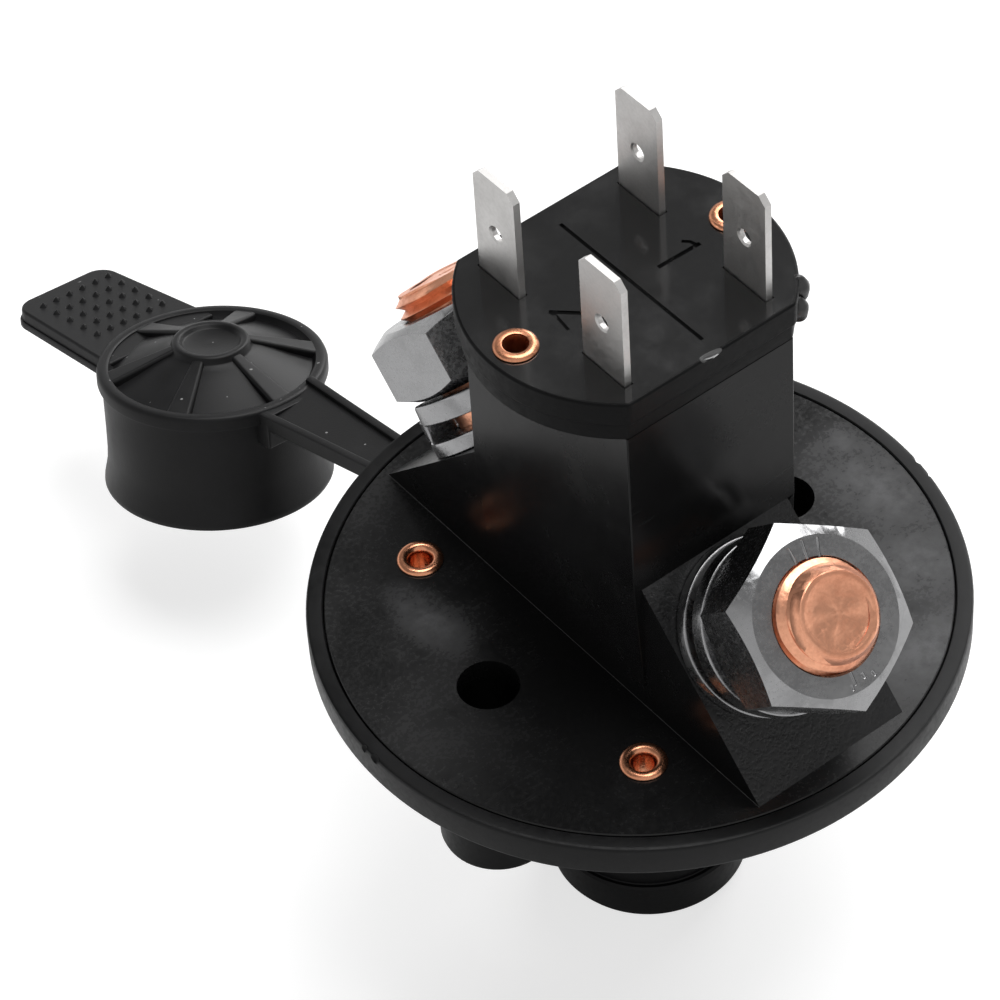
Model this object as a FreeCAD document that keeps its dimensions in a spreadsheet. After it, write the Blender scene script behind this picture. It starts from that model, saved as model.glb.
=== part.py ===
import FreeCAD, Part
import math
import os
import Sketcher
from FreeCAD import Placement, Rotation, Vector

# Six-terminal battery disconnect switch, seen from its rear: a round front flange with a key collar,
# a phenolic rear body with two 45 degree wedges that carry the main studs, a lid with four blade
# terminals, and a rubber splash cap on a strap. Millimetres. X runs along the two mounting holes,
# Y along the two studs (the cap hangs on the +Y side), Z is the key axis. The origin is the centre of
# the mounting hole pattern, on the underside of the flange.

doc = FreeCAD.newDocument("battery_disconnect_switch")
dims = doc.addObject("Spreadsheet::Sheet", "dims")

# Driving dimensions
DRIVING = [
    # flange: its rim and the step round the rear body
    ("rim_width", 1.8), ("wedge_margin", 2.6), ("flange_thickness", 4.0), ("flange_edge", 0.5),
    ("collar_length", 37.6), ("plate_thickness", 2.6), ("plate_clearance", 0.15),
    # collar
    ("collar_bore", 8.3), ("collar_wall", 1.9), ("lip_step", 0.7), ("collar_lip_height", 5.0),
    ("collar_chamfer", 0.6), ("mouth_step", 1.1), ("mouth_depth", 2.0),
    # mounting bosses
    ("boss_room", 0.5), ("boss_radius", 6.3), ("boss_depth", 22.8), ("mounting_hole_radius", 3.3),
    # rear body
    ("wedge_angle", 45.0), ("wedge_foot", 6.0316), ("wedge_wall", 4.0), ("wedge_side_wall", 2.5),
    ("block_room", 2.3), ("block_taper", 1.0), ("block_end_room", 1.65),
    ("block_end_wall", 1.4), ("block_side_wall", 1.8),
    ("ear_bottom", 39.9), ("ear_thickness", 2.2), ("lid_overhang", 0.4), ("shelf_bottom", 22.0),
    ("shelf_thickness", 3.0), ("cavity_room", 0.9), ("mouth_side_wall", 0.6),
    # lid
    ("lid_lap", 0.5), ("lid_thickness", 3.0), ("mark_depth", 0.35),
    ("mark_width", 0.5), ("rule_margin", 2.7), ("mark_stem", 4.4), ("mark_flag", 1.7),
    # rivets
    ("disc_rivet_room", 5.05), ("disc_rivet_margin", 14.7), ("rivet_shank", 1.6), ("rivet_bore", 1.1),
    ("rivet_head", 2.5), ("rivet_head_height", 0.6), ("rivet_clearance", 0.1),
    ("lid_rivet_room", 3.1), ("lid_rivet_edge", 3.3), ("lid_rivet_head", 2.3),
    # blade terminals
    ("blade_side_room", 1.7), ("blade_y", 8.1), ("blade_width", 6.3), ("blade_thickness", 0.8),
    ("blade_height", 13.3), ("blade_chamfer", 1.4), ("blade_hole_radius", 0.9),
    ("blade_hole_height", 6.3), ("blade_clearance", 0.1), ("blade_leg_x", 3.1), ("blade_leg_drop", 5.3),
    # main studs and their hardware
    ("stud_radius", 5.8), ("stud_length", 17.1), ("stud_chamfer", 1.4), ("washer_room", 0.2),
    ("stud_hole_clearance", 0.15), ("stud_head_radius", 6.8), ("stud_head_thickness", 3.0),
    ("washer_radius", 9.4), ("washer_thickness", 1.8), ("washer_bore_clearance", 0.25),
    ("lock_washer_thickness", 2.4), ("lock_washer_rise", 1.9), ("lock_washer_gap", 0.1),
    ("nut_across_flats", 18.0), ("nut_thickness", 8.0), ("nut_chamfer", 1.0),
    # key rotor
    ("rotor_clearance", 0.06), ("rotor_end_gap", 0.1), ("post_radius", 4.2), ("post_height", 5.2),
    ("ramp_inner_radius", 4.6), ("key_turn", 90.0), ("switch_travel", 2.4), ("key_slot_width", 4.6),
    ("key_slot_length", 10.0), ("key_slot_depth", 15.0), ("seal_height", 9.0), ("seal_groove_depth", 1.4),
    ("seal_groove_width", 1.7), ("seal_cord_radius", 0.68),
    # contact carrier
    ("carrier_peg_gap", 0.35), ("carrier_peg_width", 1.5), ("carrier_hub_gap", 0.4),
    ("carrier_hub_bottom", 2.8), ("carrier_hub_top", 6.0), ("carrier_seat_gap", 0.373),
    ("carrier_bore_clearance", 0.08), ("column_radius", 3.6), ("column_top", 27.5),
    ("spigot_radius", 2.2), ("spigot_gap", 0.6), ("shelf_hole_clearance", 0.09),
    # main bridge
    ("bridge_thickness", 2.0), ("bridge_level", 9.2), ("bridge_side_room", 2.3),
    ("bridge_end_room", 14.6), ("contact_gap", 0.07), ("bridge_hole_clearance", 0.1),
    # return spring
    ("spring_wire", 0.45), ("spring_radius", 5.3), ("spring_coils", 4.0), ("spring_end_gap", 0.05),
    # auxiliary carrier and strips
    ("yoke_bottom", 28.0), ("yoke_thickness", 5.3), ("yoke_margin", 2.0), ("yoke_half_width", 3.2),
    ("strip_thickness", 0.8), ("strip_end_room", 1.9), ("strip_width", 3.0), ("strip_pin_radius", 0.7),
    # cap strap
    ("swivel_angle", 4.9), ("ring_clearance", 0.3), ("ring_wall", 2.8), ("ring_height", 3.6),
    ("ring_gap", 0.35), ("fold_room", 3.5), ("strap_slope", 10.0),
    ("strap_thickness", 2.0), ("strap_web", 1.0), ("strap_bead", 1.1), ("strap_half_width", 2.8),
    ("strap_waist_share", 0.55), ("strap_wide_half_width", 3.9), ("fold_gap", 0.42), ("neck_thickness", 1.2), ("neck_round", 0.35),
    ("neck_length", 1.3), ("cap_fold_room", 3.9), ("cap_yaw", 2.3), ("cap_twist", 11.25), ("closed_gap", 1.0),
    # splash cap
    ("cap_clearance", 0.7), ("cap_wall", 1.3), ("cap_waist", 0.55), ("cap_height", 14.9),
    ("cap_top", 2.4), ("cap_bead", 1.3), ("cap_flare", 2.2), ("cap_recess", 0.9), ("cap_hub_radius", 4.4),
    ("cap_dome", 2.8), ("hub_rim", 0.9), ("hub_recess", 0.5), ("cap_rim_width", 1.4),
    ("spoke_inner", 0.6), ("spoke_outer", 1.2), ("spokes", 6.0), ("spoke_start", 30.0),
    ("tab_half_width", 8.0), ("tab_end_half_width", 6.8), ("tab_length", 13.0), ("tab_corner", 3.0),
    ("tab_thickness", 2.3), ("tab_drop", 0.3),
    ("gusset_height", 4.6), ("gusset_half_width", 3.6), ("gusset_reach", 1.6),
]
# Heights and sizes that follow from them
DERIVED = [
    # the rotor's bore sets the collar, the ring round it, the cap over it and the width of the block
    ("collar_radius", "collar_bore + collar_wall"),
    ("collar_lip_radius", "collar_radius + lip_step"),
    ("collar_mouth", "collar_bore - mouth_step"),
    ("block_half_width", "collar_bore + block_room"),
    ("wedge_half_width", "block_half_width - block_taper"),
    ("ring_radius", "collar_radius + ring_clearance + ring_wall"),
    ("boss_offset", "ring_radius + boss_room + boss_radius"),
    # the blades set the length of the block, and the studs' washers that of the wedges
    ("block_half_length", "blade_y + blade_width / 2 + block_end_room"),
    ("stud_down_slope", "washer_radius + washer_room"),
    ("wedge_reach",
     "block_half_length + (stud_down_slope + washer_radius + wedge_foot) * cos(wedge_angle)"),
    ("seat_radius", "wedge_reach + wedge_margin"),
    ("flange_radius", "seat_radius + rim_width"),
    ("disc_rivet_x", "wedge_half_width + disc_rivet_room"),
    ("disc_rivet_y", "seat_radius - disc_rivet_margin"),
    ("cavity_depth", "block_half_length - cavity_room"),
    ("lid_rivet_x", "block_half_width + lid_rivet_room"),
    ("lid_radius", "lid_rivet_x + lid_rivet_edge"),
    ("ear_radius", "lid_radius - lid_overhang"),
    ("lid_half_length", "block_half_length + lid_lap"),
    ("rule_half_length", "lid_half_length - rule_margin"),
    ("blade_x", "block_half_width - blade_side_room"),
    ("strip_x", "blade_x - blade_leg_x - blade_thickness / 2"),
    ("strip_half_length", "block_half_length - strip_end_room"),
    ("yoke_half_length", "strip_x + yoke_margin"),
    ("spigot_top", "yoke_bottom + yoke_thickness - spigot_gap"),
    ("collar_end", "-collar_length"),
    ("deck_height", "flange_thickness"),
    ("flange_bottom", "deck_height - flange_thickness"),
    ("seat_floor", "deck_height - plate_thickness"),
    ("plate_radius", "seat_radius - plate_clearance"),
    ("wedge_top", "deck_height + (wedge_reach - block_half_length) * tan(wedge_angle)"),
    ("ear_top", "deck_height + ear_bottom + ear_thickness"),
    ("lid_top", "ear_top + lid_thickness"),
    ("stud_foot_y", "block_half_length + stud_down_slope * cos(wedge_angle)"),
    ("stud_foot_z", "wedge_top - stud_down_slope * sin(wedge_angle)"),
    ("inner_reach", "wedge_reach - wedge_wall / sin(wedge_angle)"),
    ("contact_reach", "inner_reach - stud_head_thickness / sin(wedge_angle)"),
    ("bridge_reach", "contact_reach - contact_gap / sin(wedge_angle) - switch_travel"),
    ("bridge_inner_reach", "bridge_reach - bridge_thickness / sin(wedge_angle)"),
    ("bridge_seat", "deck_height + bridge_level"),
    ("bridge_half_width", "block_half_width - block_side_wall - bridge_side_room"),
    ("bridge_half_length", "wedge_reach - bridge_end_room"),
    ("carrier_hub_radius", "collar_bore - carrier_hub_gap"),
    ("carrier_seat_radius", "bridge_inner_reach - bridge_level - carrier_seat_gap"),
    ("bridge_top", "bridge_seat + bridge_thickness"),
    ("nut_seat", "washer_thickness + lock_washer_thickness + lock_washer_rise + 2 * lock_washer_gap"),
    ("rotor_radius", "collar_bore - rotor_clearance"),
    ("rotor_front", "collar_end + mouth_depth + rotor_end_gap"),
    ("seal_level", "collar_end + seal_height"),
    ("strap_level", "flange_bottom - ring_gap - ring_height / 2"),
    ("fold_radius", "ring_radius + fold_room"),
    ("cap_bore", "collar_lip_radius + cap_clearance"),
    ("cap_radius", "cap_bore + cap_wall"),
    ("cap_waist_radius", "cap_radius - cap_waist"),
    ("cap_fold_radius", "cap_radius + cap_fold_room"),
    ("tab_reach", "cap_radius + tab_length"),
    ("strap_length", "strap_level - collar_end + cap_top + closed_gap - strap_thickness / 2"),
]


def fill_sheet():
    """Write the driving and derived dimensions into the spreadsheet, one alias a row."""
    row = 1
    for name, number in DRIVING:
        dims.set("A%d" % row, name)
        dims.set("B%d" % row, str(number))
        dims.setAlias("B%d" % row, name)
        row += 1
    for name, formula in DERIVED:
        dims.set("A%d" % row, name)
        dims.set("B%d" % row, "=" + formula.replace("tan(wedge_angle)", "tan(wedge_angle * 1 deg)")
                 .replace("cos(wedge_angle)", "cos(wedge_angle * 1 deg)")
                 .replace("sin(wedge_angle)", "sin(wedge_angle * 1 deg)"))
        dims.setAlias("B%d" % row, name)
        row += 1
    doc.recompute()


ALIASES = [name for name, _ in DRIVING] + [name for name, _ in DERIVED]


def link(formula):
    """Turn a formula on sheet names into an expression that a document object can hold."""
    out = ""
    word = ""
    for char in str(formula) + " ":
        if char.isalnum() or char == "_":
            word += char
            continue
        out += ("dims." + word if word in ALIASES else word) + char
        word = ""
    return out.strip()


def size(formula):
    """Value of a formula on sheet names."""
    result = dims.evalExpression(link(formula))
    return float(getattr(result, "Value", result))


def new_body(name):
    """A PartDesign body whose label names its node."""
    body = doc.addObject("PartDesign::Body", name)
    body.Label = name
    return body


def origin_feature(body, role):
    """One of a body's own origin planes or axes."""
    return next(item for item in body.Origin.OriginFeatures if item.Role == role)


def new_sketch(body, name, plane="XY_Plane", height=None):
    """A sketch on one of the body's origin planes, moved along the plane's normal by a formula."""
    sketch = body.newObject("Sketcher::SketchObject", name)
    sketch.AttachmentSupport = [(origin_feature(body, plane), "")]
    sketch.MapMode = "FlatFace"
    if height is not None:
        sketch.setExpression("AttachmentOffset.Base.z", link(height))
    return sketch


def bind(sketch, kind, formula, *where):
    """Add one dimension to a sketch and bind it to a formula."""
    index = sketch.addConstraint(Sketcher.Constraint(kind, *where, size(formula)))
    sketch.setExpression("Constraints[%d]" % index, link(formula))


def add_polygon(sketch, corners):
    """Closed outline through corners, each an (x formula, y formula) pair."""
    points = [Vector(size(x), size(y), 0) for x, y in corners]
    first = sketch.GeometryCount
    count = len(points)
    for i in range(count):
        sketch.addGeometry(Part.LineSegment(points[i], points[(i + 1) % count]))
    for i in range(count):
        sketch.addConstraint(Sketcher.Constraint("Coincident", first + i, 2, first + (i + 1) % count, 1))
    for i, (x, y) in enumerate(corners):
        bind(sketch, "DistanceX", x, -1, 1, first + i, 1)
        bind(sketch, "DistanceY", y, -1, 1, first + i, 1)


def add_circle(sketch, x, y, radius):
    """Circle with its centre and radius bound to formulas."""
    index = sketch.addGeometry(Part.Circle(Vector(size(x), size(y), 0), Vector(0, 0, 1), size(radius)))
    bind(sketch, "Radius", radius, index)
    bind(sketch, "DistanceX", x, -1, 1, index, 3)
    bind(sketch, "DistanceY", y, -1, 1, index, 3)


def add_many_sided(sketch, x, y, radius, sides):
    """Regular outline round a point: a turned or coiled section with few faces."""
    corners = []
    for i in range(sides):
        turn = "(%s deg)" % ((i + 0.5) * 360.0 / sides)
        corners.append(("%s + %s * cos%s" % (x, radius, turn), "%s + %s * sin%s" % (y, radius, turn)))
    add_polygon(sketch, corners)


def add_rectangle(sketch, x0, y0, x1, y1):
    """Upright rectangle between two corners."""
    add_polygon(sketch, [(x0, y0), (x1, y0), (x1, y1), (x0, y1)])


def pad(body, sketch, length, symmetric=False, backward=False):
    """Extrude a sketch by a length formula."""
    feature = body.newObject("PartDesign::Pad", sketch.Name + "_pad")
    feature.Profile = sketch
    feature.setExpression("Length", link(length))
    if symmetric:
        feature.SideType = "Symmetric"
    feature.Reversed = backward
    body.Tip = feature
    return feature


def pocket(body, sketch, length=None, symmetric=False, upward=False):
    """Cut a sketch by a length formula, or through everything."""
    feature = body.newObject("PartDesign::Pocket", sketch.Name + "_cut")
    feature.Profile = sketch
    if length is None:
        feature.Type = "ThroughAll"
    else:
        feature.setExpression("Length", link(length))
    if symmetric:
        feature.SideType = "Symmetric"
    feature.Reversed = upward
    body.Tip = feature
    return feature


def revolve(body, sketch, cut=False):
    """Turn a sketch about its vertical axis, as material or as a groove."""
    kind = "PartDesign::Groove" if cut else "PartDesign::Revolution"
    feature = body.newObject(kind, sketch.Name + ("_groove" if cut else "_turned"))
    feature.Profile = sketch
    feature.ReferenceAxis = (sketch, ["V_Axis"])
    feature.Angle = 360.0
    body.Tip = feature
    return feature


def helix(body, sketch, pitch, height, cut=False, left=False):
    """Sweep a sketch along a helix about its vertical axis."""
    kind = "PartDesign::SubtractiveHelix" if cut else "PartDesign::AdditiveHelix"
    feature = body.newObject(kind, sketch.Name + "_helix")
    feature.Profile = sketch
    feature.ReferenceAxis = (sketch, ["V_Axis"])
    feature.Mode = 0
    feature.setExpression("Pitch", link(pitch))
    feature.setExpression("Height", link(height))
    feature.LeftHanded = left
    body.Tip = feature
    return feature


def polar(body, features, count):
    """Repeat features about the body's Z axis."""
    pattern = body.newObject("PartDesign::PolarPattern", features[0].Name + "_round")
    pattern.Originals = features
    pattern.Axis = (origin_feature(body, "Z_Axis"), [""])
    pattern.Angle = 360.0
    pattern.Occurrences = count
    body.Tip = pattern
    return pattern


def chain_placement(chain):
    """Placement that a chain of (kind, value) steps read from the sheet adds up to."""
    result = Placement()
    for kind, value in chain:
        if kind == "move":
            step = Placement(Vector(*[size(part) for part in value]), Rotation())
        else:
            axis = {"turn_x": Vector(1, 0, 0), "turn_y": Vector(0, 1, 0), "turn_z": Vector(0, 0, 1)}[kind]
            step = Placement(Vector(), Rotation(axis, size(value)))
        result = result.multiply(step)
    return result


def place(item, chain):
    """Place an object by a chain of steps."""
    item.Placement = chain_placement(chain)


def make_front_flange():
    """Front flange, collar and mounting bosses: one moulding."""
    body = new_body("front_flange")
    profile = new_sketch(body, "flange_profile", "XZ_Plane")
    add_polygon(profile, [
        ("collar_mouth", "collar_end"), ("collar_lip_radius - collar_chamfer", "collar_end"),
        ("collar_lip_radius", "collar_end + collar_chamfer"),
        ("collar_lip_radius", "collar_end + collar_lip_height"),
        ("collar_radius", "collar_end + collar_lip_height"), ("collar_radius", "flange_bottom"),
        ("flange_radius - flange_edge", "flange_bottom"), ("flange_radius", "flange_bottom + flange_edge"),
        ("flange_radius", "deck_height - flange_edge"), ("flange_radius - flange_edge", "deck_height"),
        ("seat_radius", "deck_height"), ("seat_radius", "seat_floor"), ("collar_bore", "seat_floor"),
        ("collar_bore", "collar_end + mouth_depth"), ("collar_mouth", "collar_end + mouth_depth")])
    revolve(body, profile)
    bosses = new_sketch(body, "boss_outline", height="deck_height - boss_depth")
    add_circle(bosses, "boss_offset", "0", "boss_radius")
    add_circle(bosses, "-boss_offset", "0", "boss_radius")
    pad(body, bosses, "boss_depth - flange_thickness + flange_edge")
    holes = new_sketch(body, "flange_holes", height="deck_height - boss_depth")
    for sign in ("", "-"):
        add_circle(holes, sign + "boss_offset", "0", "mounting_hole_radius")
        add_circle(holes, sign + "disc_rivet_x", "disc_rivet_y", "rivet_shank + rivet_clearance")
        add_circle(holes, sign + "disc_rivet_x", "-disc_rivet_y", "rivet_shank + rivet_clearance")
    pocket(body, holes, "boss_depth", upward=True)
    return body


def make_rear_body():
    """Base plate, wedges and terminal block: one phenolic moulding, hollow from below."""
    body = new_body("rear_body")
    plate = new_sketch(body, "base_plate", height="seat_floor")
    add_circle(plate, "0", "0", "plate_radius")
    pad(body, plate, "plate_thickness")
    wedges = new_sketch(body, "wedge_profile", "YZ_Plane")
    add_polygon(wedges, [
        ("-wedge_reach", "deck_height - 0.5"), ("-wedge_reach", "deck_height"),
        ("-block_half_length", "wedge_top"), ("block_half_length", "wedge_top"),
        ("wedge_reach", "deck_height"), ("wedge_reach", "deck_height - 0.5")])
    pad(body, wedges, "2 * wedge_half_width", symmetric=True)
    block = new_sketch(body, "block_profile", "XZ_Plane")
    add_polygon(block, [
        ("-wedge_half_width", "deck_height - 0.5"), ("-wedge_half_width", "deck_height"),
        ("-block_half_width", "wedge_top"), ("-block_half_width", "ear_top - ear_thickness / 2"),
        ("block_half_width", "ear_top - ear_thickness / 2"), ("block_half_width", "wedge_top"),
        ("wedge_half_width", "deck_height"), ("wedge_half_width", "deck_height - 0.5")])
    pad(body, block, "2 * block_half_length", symmetric=True)
    ears = new_sketch(body, "ear_outline", height="deck_height + ear_bottom")
    add_circle(ears, "0", "0", "ear_radius")
    pad(body, ears, "ear_thickness")
    flats = new_sketch(body, "ear_flats", height="ear_top")
    add_rectangle(flats, "-ear_radius", "block_half_length", "ear_radius", "ear_radius + 1")
    add_rectangle(flats, "-ear_radius", "-ear_radius - 1", "ear_radius", "-block_half_length")
    pocket(body, flats, "ear_thickness")
    contact_room = new_sketch(body, "wedge_hollow", "YZ_Plane")
    add_polygon(contact_room, [
        ("-inner_reach + 2", "seat_floor - 1"), ("-inner_reach + 2", "deck_height + 2"),
        ("-cavity_depth", "deck_height + inner_reach - cavity_depth"),
        ("cavity_depth", "deck_height + inner_reach - cavity_depth"),
        ("inner_reach - 2", "deck_height + 2"), ("inner_reach - 2", "seat_floor - 1")])
    pocket(body, contact_room, "2 * (wedge_half_width - wedge_side_wall)", symmetric=True)
    lower = new_sketch(body, "spring_room", height="seat_floor - 1")
    add_rectangle(lower, "-block_half_width + block_side_wall", "-block_half_length + block_end_wall",
                  "block_half_width - block_side_wall", "block_half_length - block_end_wall")
    pocket(body, lower, "shelf_bottom + plate_thickness + 1", upward=True)
    upper = new_sketch(body, "auxiliary_room", height="ear_top + 1")
    add_rectangle(upper, "-block_half_width + block_side_wall", "-block_half_length + block_end_wall",
                  "block_half_width - block_side_wall", "block_half_length - block_end_wall")
    pocket(body, upper, "ear_bottom + ear_thickness + 1 - shelf_bottom - shelf_thickness")
    mouth = new_sketch(body, "block_mouth", height="ear_top + 1")
    add_rectangle(mouth, "-block_half_width + mouth_side_wall", "-block_half_length + block_end_wall",
                  "block_half_width - mouth_side_wall", "block_half_length - block_end_wall")
    pocket(body, mouth, "ear_thickness + 1")
    column_hole = new_sketch(body, "shelf_hole", height="deck_height + shelf_bottom + shelf_thickness + 1")
    add_circle(column_hole, "0", "0", "column_radius + shelf_hole_clearance")
    pocket(body, column_hole, "shelf_thickness + 2")
    holes = new_sketch(body, "plate_holes", height="deck_height + 1")
    for sign in ("", "-"):
        add_circle(holes, sign + "boss_offset", "0", "mounting_hole_radius")
        add_circle(holes, sign + "disc_rivet_x", "disc_rivet_y", "rivet_shank + rivet_clearance")
        add_circle(holes, sign + "disc_rivet_x", "-disc_rivet_y", "rivet_shank + rivet_clearance")
    pocket(body, holes, "plate_thickness + 2")
    ear_holes = new_sketch(body, "ear_holes", height="ear_top + 1")
    add_circle(ear_holes, "lid_rivet_x", "0", "rivet_shank + rivet_clearance")
    add_circle(ear_holes, "-lid_rivet_x", "0", "rivet_shank + rivet_clearance")
    pocket(body, ear_holes, "ear_thickness + 2")
    for name, side in (("near", -1), ("far", 1)):
        bore = new_sketch(body, "stud_hole_" + name)
        bore.AttachmentOffset = Placement(
            Vector(0, side * size("stud_foot_y"), size("stud_foot_z")),
            Rotation(Vector(1, 0, 0), -side * size("wedge_angle")))
        bore.setExpression("AttachmentOffset.Base.y", link(("" if side > 0 else "-") + "stud_foot_y"))
        bore.setExpression("AttachmentOffset.Base.z", link("stud_foot_z"))
        add_circle(bore, "0", "0", "stud_radius + stud_hole_clearance")
        pocket(body, bore, "wedge_wall + 1")
    return body


def make_lid():
    """Flat-sided lid that carries the blades, with an engraved rule and two plain marks."""
    body = new_body("block_lid")
    outline = new_sketch(body, "lid_outline", height="ear_top")
    add_circle(outline, "0", "0", "lid_radius")
    pad(body, outline, "lid_thickness")
    flats = new_sketch(body, "lid_flats", height="lid_top")
    add_rectangle(flats, "-lid_radius", "lid_half_length", "lid_radius", "lid_radius + 1")
    add_rectangle(flats, "-lid_radius", "-lid_radius - 1", "lid_radius", "-lid_half_length")
    pocket(body, flats, "lid_thickness")
    slots = new_sketch(body, "blade_slots", height="lid_top + 1")
    for sx in ("", "-"):
        for sy in ("", "-"):
            add_rectangle(slots, sx + "blade_x - blade_thickness / 2 - blade_clearance",
                          sy + "blade_y - blade_width / 2 - blade_clearance",
                          sx + "blade_x + blade_thickness / 2 + blade_clearance",
                          sy + "blade_y + blade_width / 2 + blade_clearance")
    add_circle(slots, "lid_rivet_x", "0", "rivet_shank + rivet_clearance")
    add_circle(slots, "-lid_rivet_x", "0", "rivet_shank + rivet_clearance")
    pocket(body, slots, "lid_thickness + 2")
    marks = new_sketch(body, "engraved_marks", height="lid_top")
    add_rectangle(marks, "-mark_width / 2", "-rule_half_length", "mark_width / 2", "rule_half_length")
    add_rectangle(marks, "lid_rivet_x / 2 - mark_stem / 2", "-mark_width / 2",
                  "lid_rivet_x / 2 + mark_stem / 2", "mark_width / 2")
    add_rectangle(marks, "-lid_rivet_x / 2 - mark_stem / 2 + 1", "-mark_width / 2",
                  "-lid_rivet_x / 2 + mark_stem / 2 + 1", "mark_width / 2")
    pocket(body, marks, "mark_depth")
    flags = new_sketch(body, "engraved_flags", height="lid_top")
    for start in ("lid_rivet_x / 2 + mark_stem / 2", "-lid_rivet_x / 2 + mark_stem / 2 + 1"):
        add_polygon(flags, [
            (start, "mark_width / 2"), (start + " - mark_flag * 0.7", "mark_width / 2 + mark_flag * 0.7"),
            (start + " - mark_flag * 0.7 - mark_width", "mark_width / 2 + mark_flag * 0.7"),
            (start + " - mark_width", "mark_width / 2")])
    pocket(body, flags, "mark_depth")
    return body


def make_blade(name, side_x, side_y):
    """One 6.3 mm blade terminal, bent under the lid to an inner contact leg."""
    body = new_body(name)
    strip = new_sketch(body, name + "_strip", "XZ_Plane")
    half = "blade_thickness / 2"
    add_polygon(strip, [
        (half, "ear_top - blade_thickness"), (half, "lid_top + blade_height"),
        ("-" + half, "lid_top + blade_height"), ("-" + half, "ear_top"),
        ("-blade_leg_x - blade_thickness", "ear_top"),
        ("-blade_leg_x - blade_thickness", "ear_top - blade_leg_drop"),
        ("-blade_leg_x", "ear_top - blade_leg_drop"), ("-blade_leg_x", "ear_top - blade_thickness")])
    pad(body, strip, "blade_width", symmetric=True)
    tip = new_sketch(body, name + "_tip", "YZ_Plane")
    for sign in ("", "-"):
        add_polygon(tip, [
            (sign + "blade_width / 2" + (" + 1" if not sign else " - 1"), "lid_top + blade_height + 1"),
            (sign + "blade_width / 2 " + ("-" if not sign else "+") + " blade_chamfer - "
             + ("1" if not sign else "-1"), "lid_top + blade_height + 1"),
            (sign + "blade_width / 2 " + ("+" if not sign else "-") + " 1",
             "lid_top + blade_height - blade_chamfer - 1")])
    add_circle(tip, "0", "lid_top + blade_hole_height", "blade_hole_radius")
    pocket(body, tip, "4 * blade_thickness", symmetric=True)
    turned = "0" if side_x > 0 else "180"
    place(body, [("move", ("%d * blade_x" % side_x, "%d * blade_y" % side_y, "0")), ("turn_z", turned)])
    return body


def stud_frame(side):
    """Placement chain from the stud's own axis to its wedge: side -1 is -Y, +1 is +Y."""
    return [("move", ("0", "%d * stud_foot_y" % side, "stud_foot_z")),
            ("turn_x", "%d * wedge_angle" % -side)]


def make_stud(name, side):
    """Main stud with a flat contact head inside the wedge; the wedge face is at its z = 0."""
    body = new_body(name)
    profile = new_sketch(body, name + "_profile", "XZ_Plane")
    add_polygon(profile, [
        ("0", "-wedge_wall - stud_head_thickness"),
        ("stud_head_radius", "-wedge_wall - stud_head_thickness"), ("stud_head_radius", "-wedge_wall"),
        ("stud_radius", "-wedge_wall"), ("stud_radius", "stud_length - stud_chamfer"),
        ("stud_radius - stud_chamfer", "stud_length"), ("0", "stud_length")])
    revolve(body, profile)
    place(body, stud_frame(side))
    return body


def make_flat_washer(name, side):
    """Plain washer on the wedge face."""
    body = new_body(name)
    ring = new_sketch(body, name + "_ring")
    add_circle(ring, "0", "0", "washer_radius")
    add_circle(ring, "0", "0", "stud_radius + washer_bore_clearance")
    pad(body, ring, "washer_thickness")
    place(body, stud_frame(side))
    return body


def make_lock_washer(name, side, split):
    """Split spring washer: a rectangular section swept a little under one left-hand turn."""
    body = new_body(name)
    section = new_sketch(body, name + "_section", "XZ_Plane")
    low = "washer_thickness + lock_washer_gap"
    add_rectangle(section, "stud_radius + washer_bore_clearance", low,
                  "washer_radius", low + " + lock_washer_thickness")
    helix(body, section, "lock_washer_rise / 0.97", "lock_washer_rise", left=True)
    place(body, stud_frame(side) + [("turn_z", split)])
    return body


def make_nut(name, side, turn):
    """Hexagon nut with both faces chamfered at the corners."""
    body = new_body(name)
    outline = new_sketch(body, name + "_outline", height="nut_seat")
    corner = "nut_across_flats / 2 / cos(30 deg)"
    add_polygon(outline, [
        ("0", corner), ("-nut_across_flats / 2", "(%s) / 2" % corner),
        ("-nut_across_flats / 2", "-(%s) / 2" % corner), ("0", "-(%s)" % corner),
        ("nut_across_flats / 2", "-(%s) / 2" % corner), ("nut_across_flats / 2", "(%s) / 2" % corner)])
    add_circle(outline, "0", "0", "stud_radius + stud_hole_clearance")
    pad(body, outline, "nut_thickness")
    edge = new_sketch(body, name + "_edge", "XZ_Plane")
    top = "nut_seat + nut_thickness"
    add_polygon(edge, [
        ("nut_across_flats / 2 - 0.1", top + " + 0.5"), ("nut_across_flats / 2 + 2", top + " + 0.5"),
        ("nut_across_flats / 2 + 2", top + " - nut_chamfer - 0.2"), ("nut_across_flats / 2 - 0.1", top)])
    add_polygon(edge, [
        ("nut_across_flats / 2 - 0.1", "nut_seat - 0.5"), ("nut_across_flats / 2 - 0.1", "nut_seat"),
        ("nut_across_flats / 2 + 2", "nut_seat + nut_chamfer + 0.2"),
        ("nut_across_flats / 2 + 2", "nut_seat - 0.5")])
    revolve(body, edge, cut=True)
    place(body, stud_frame(side) + [("turn_z", turn)])
    return body


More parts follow.
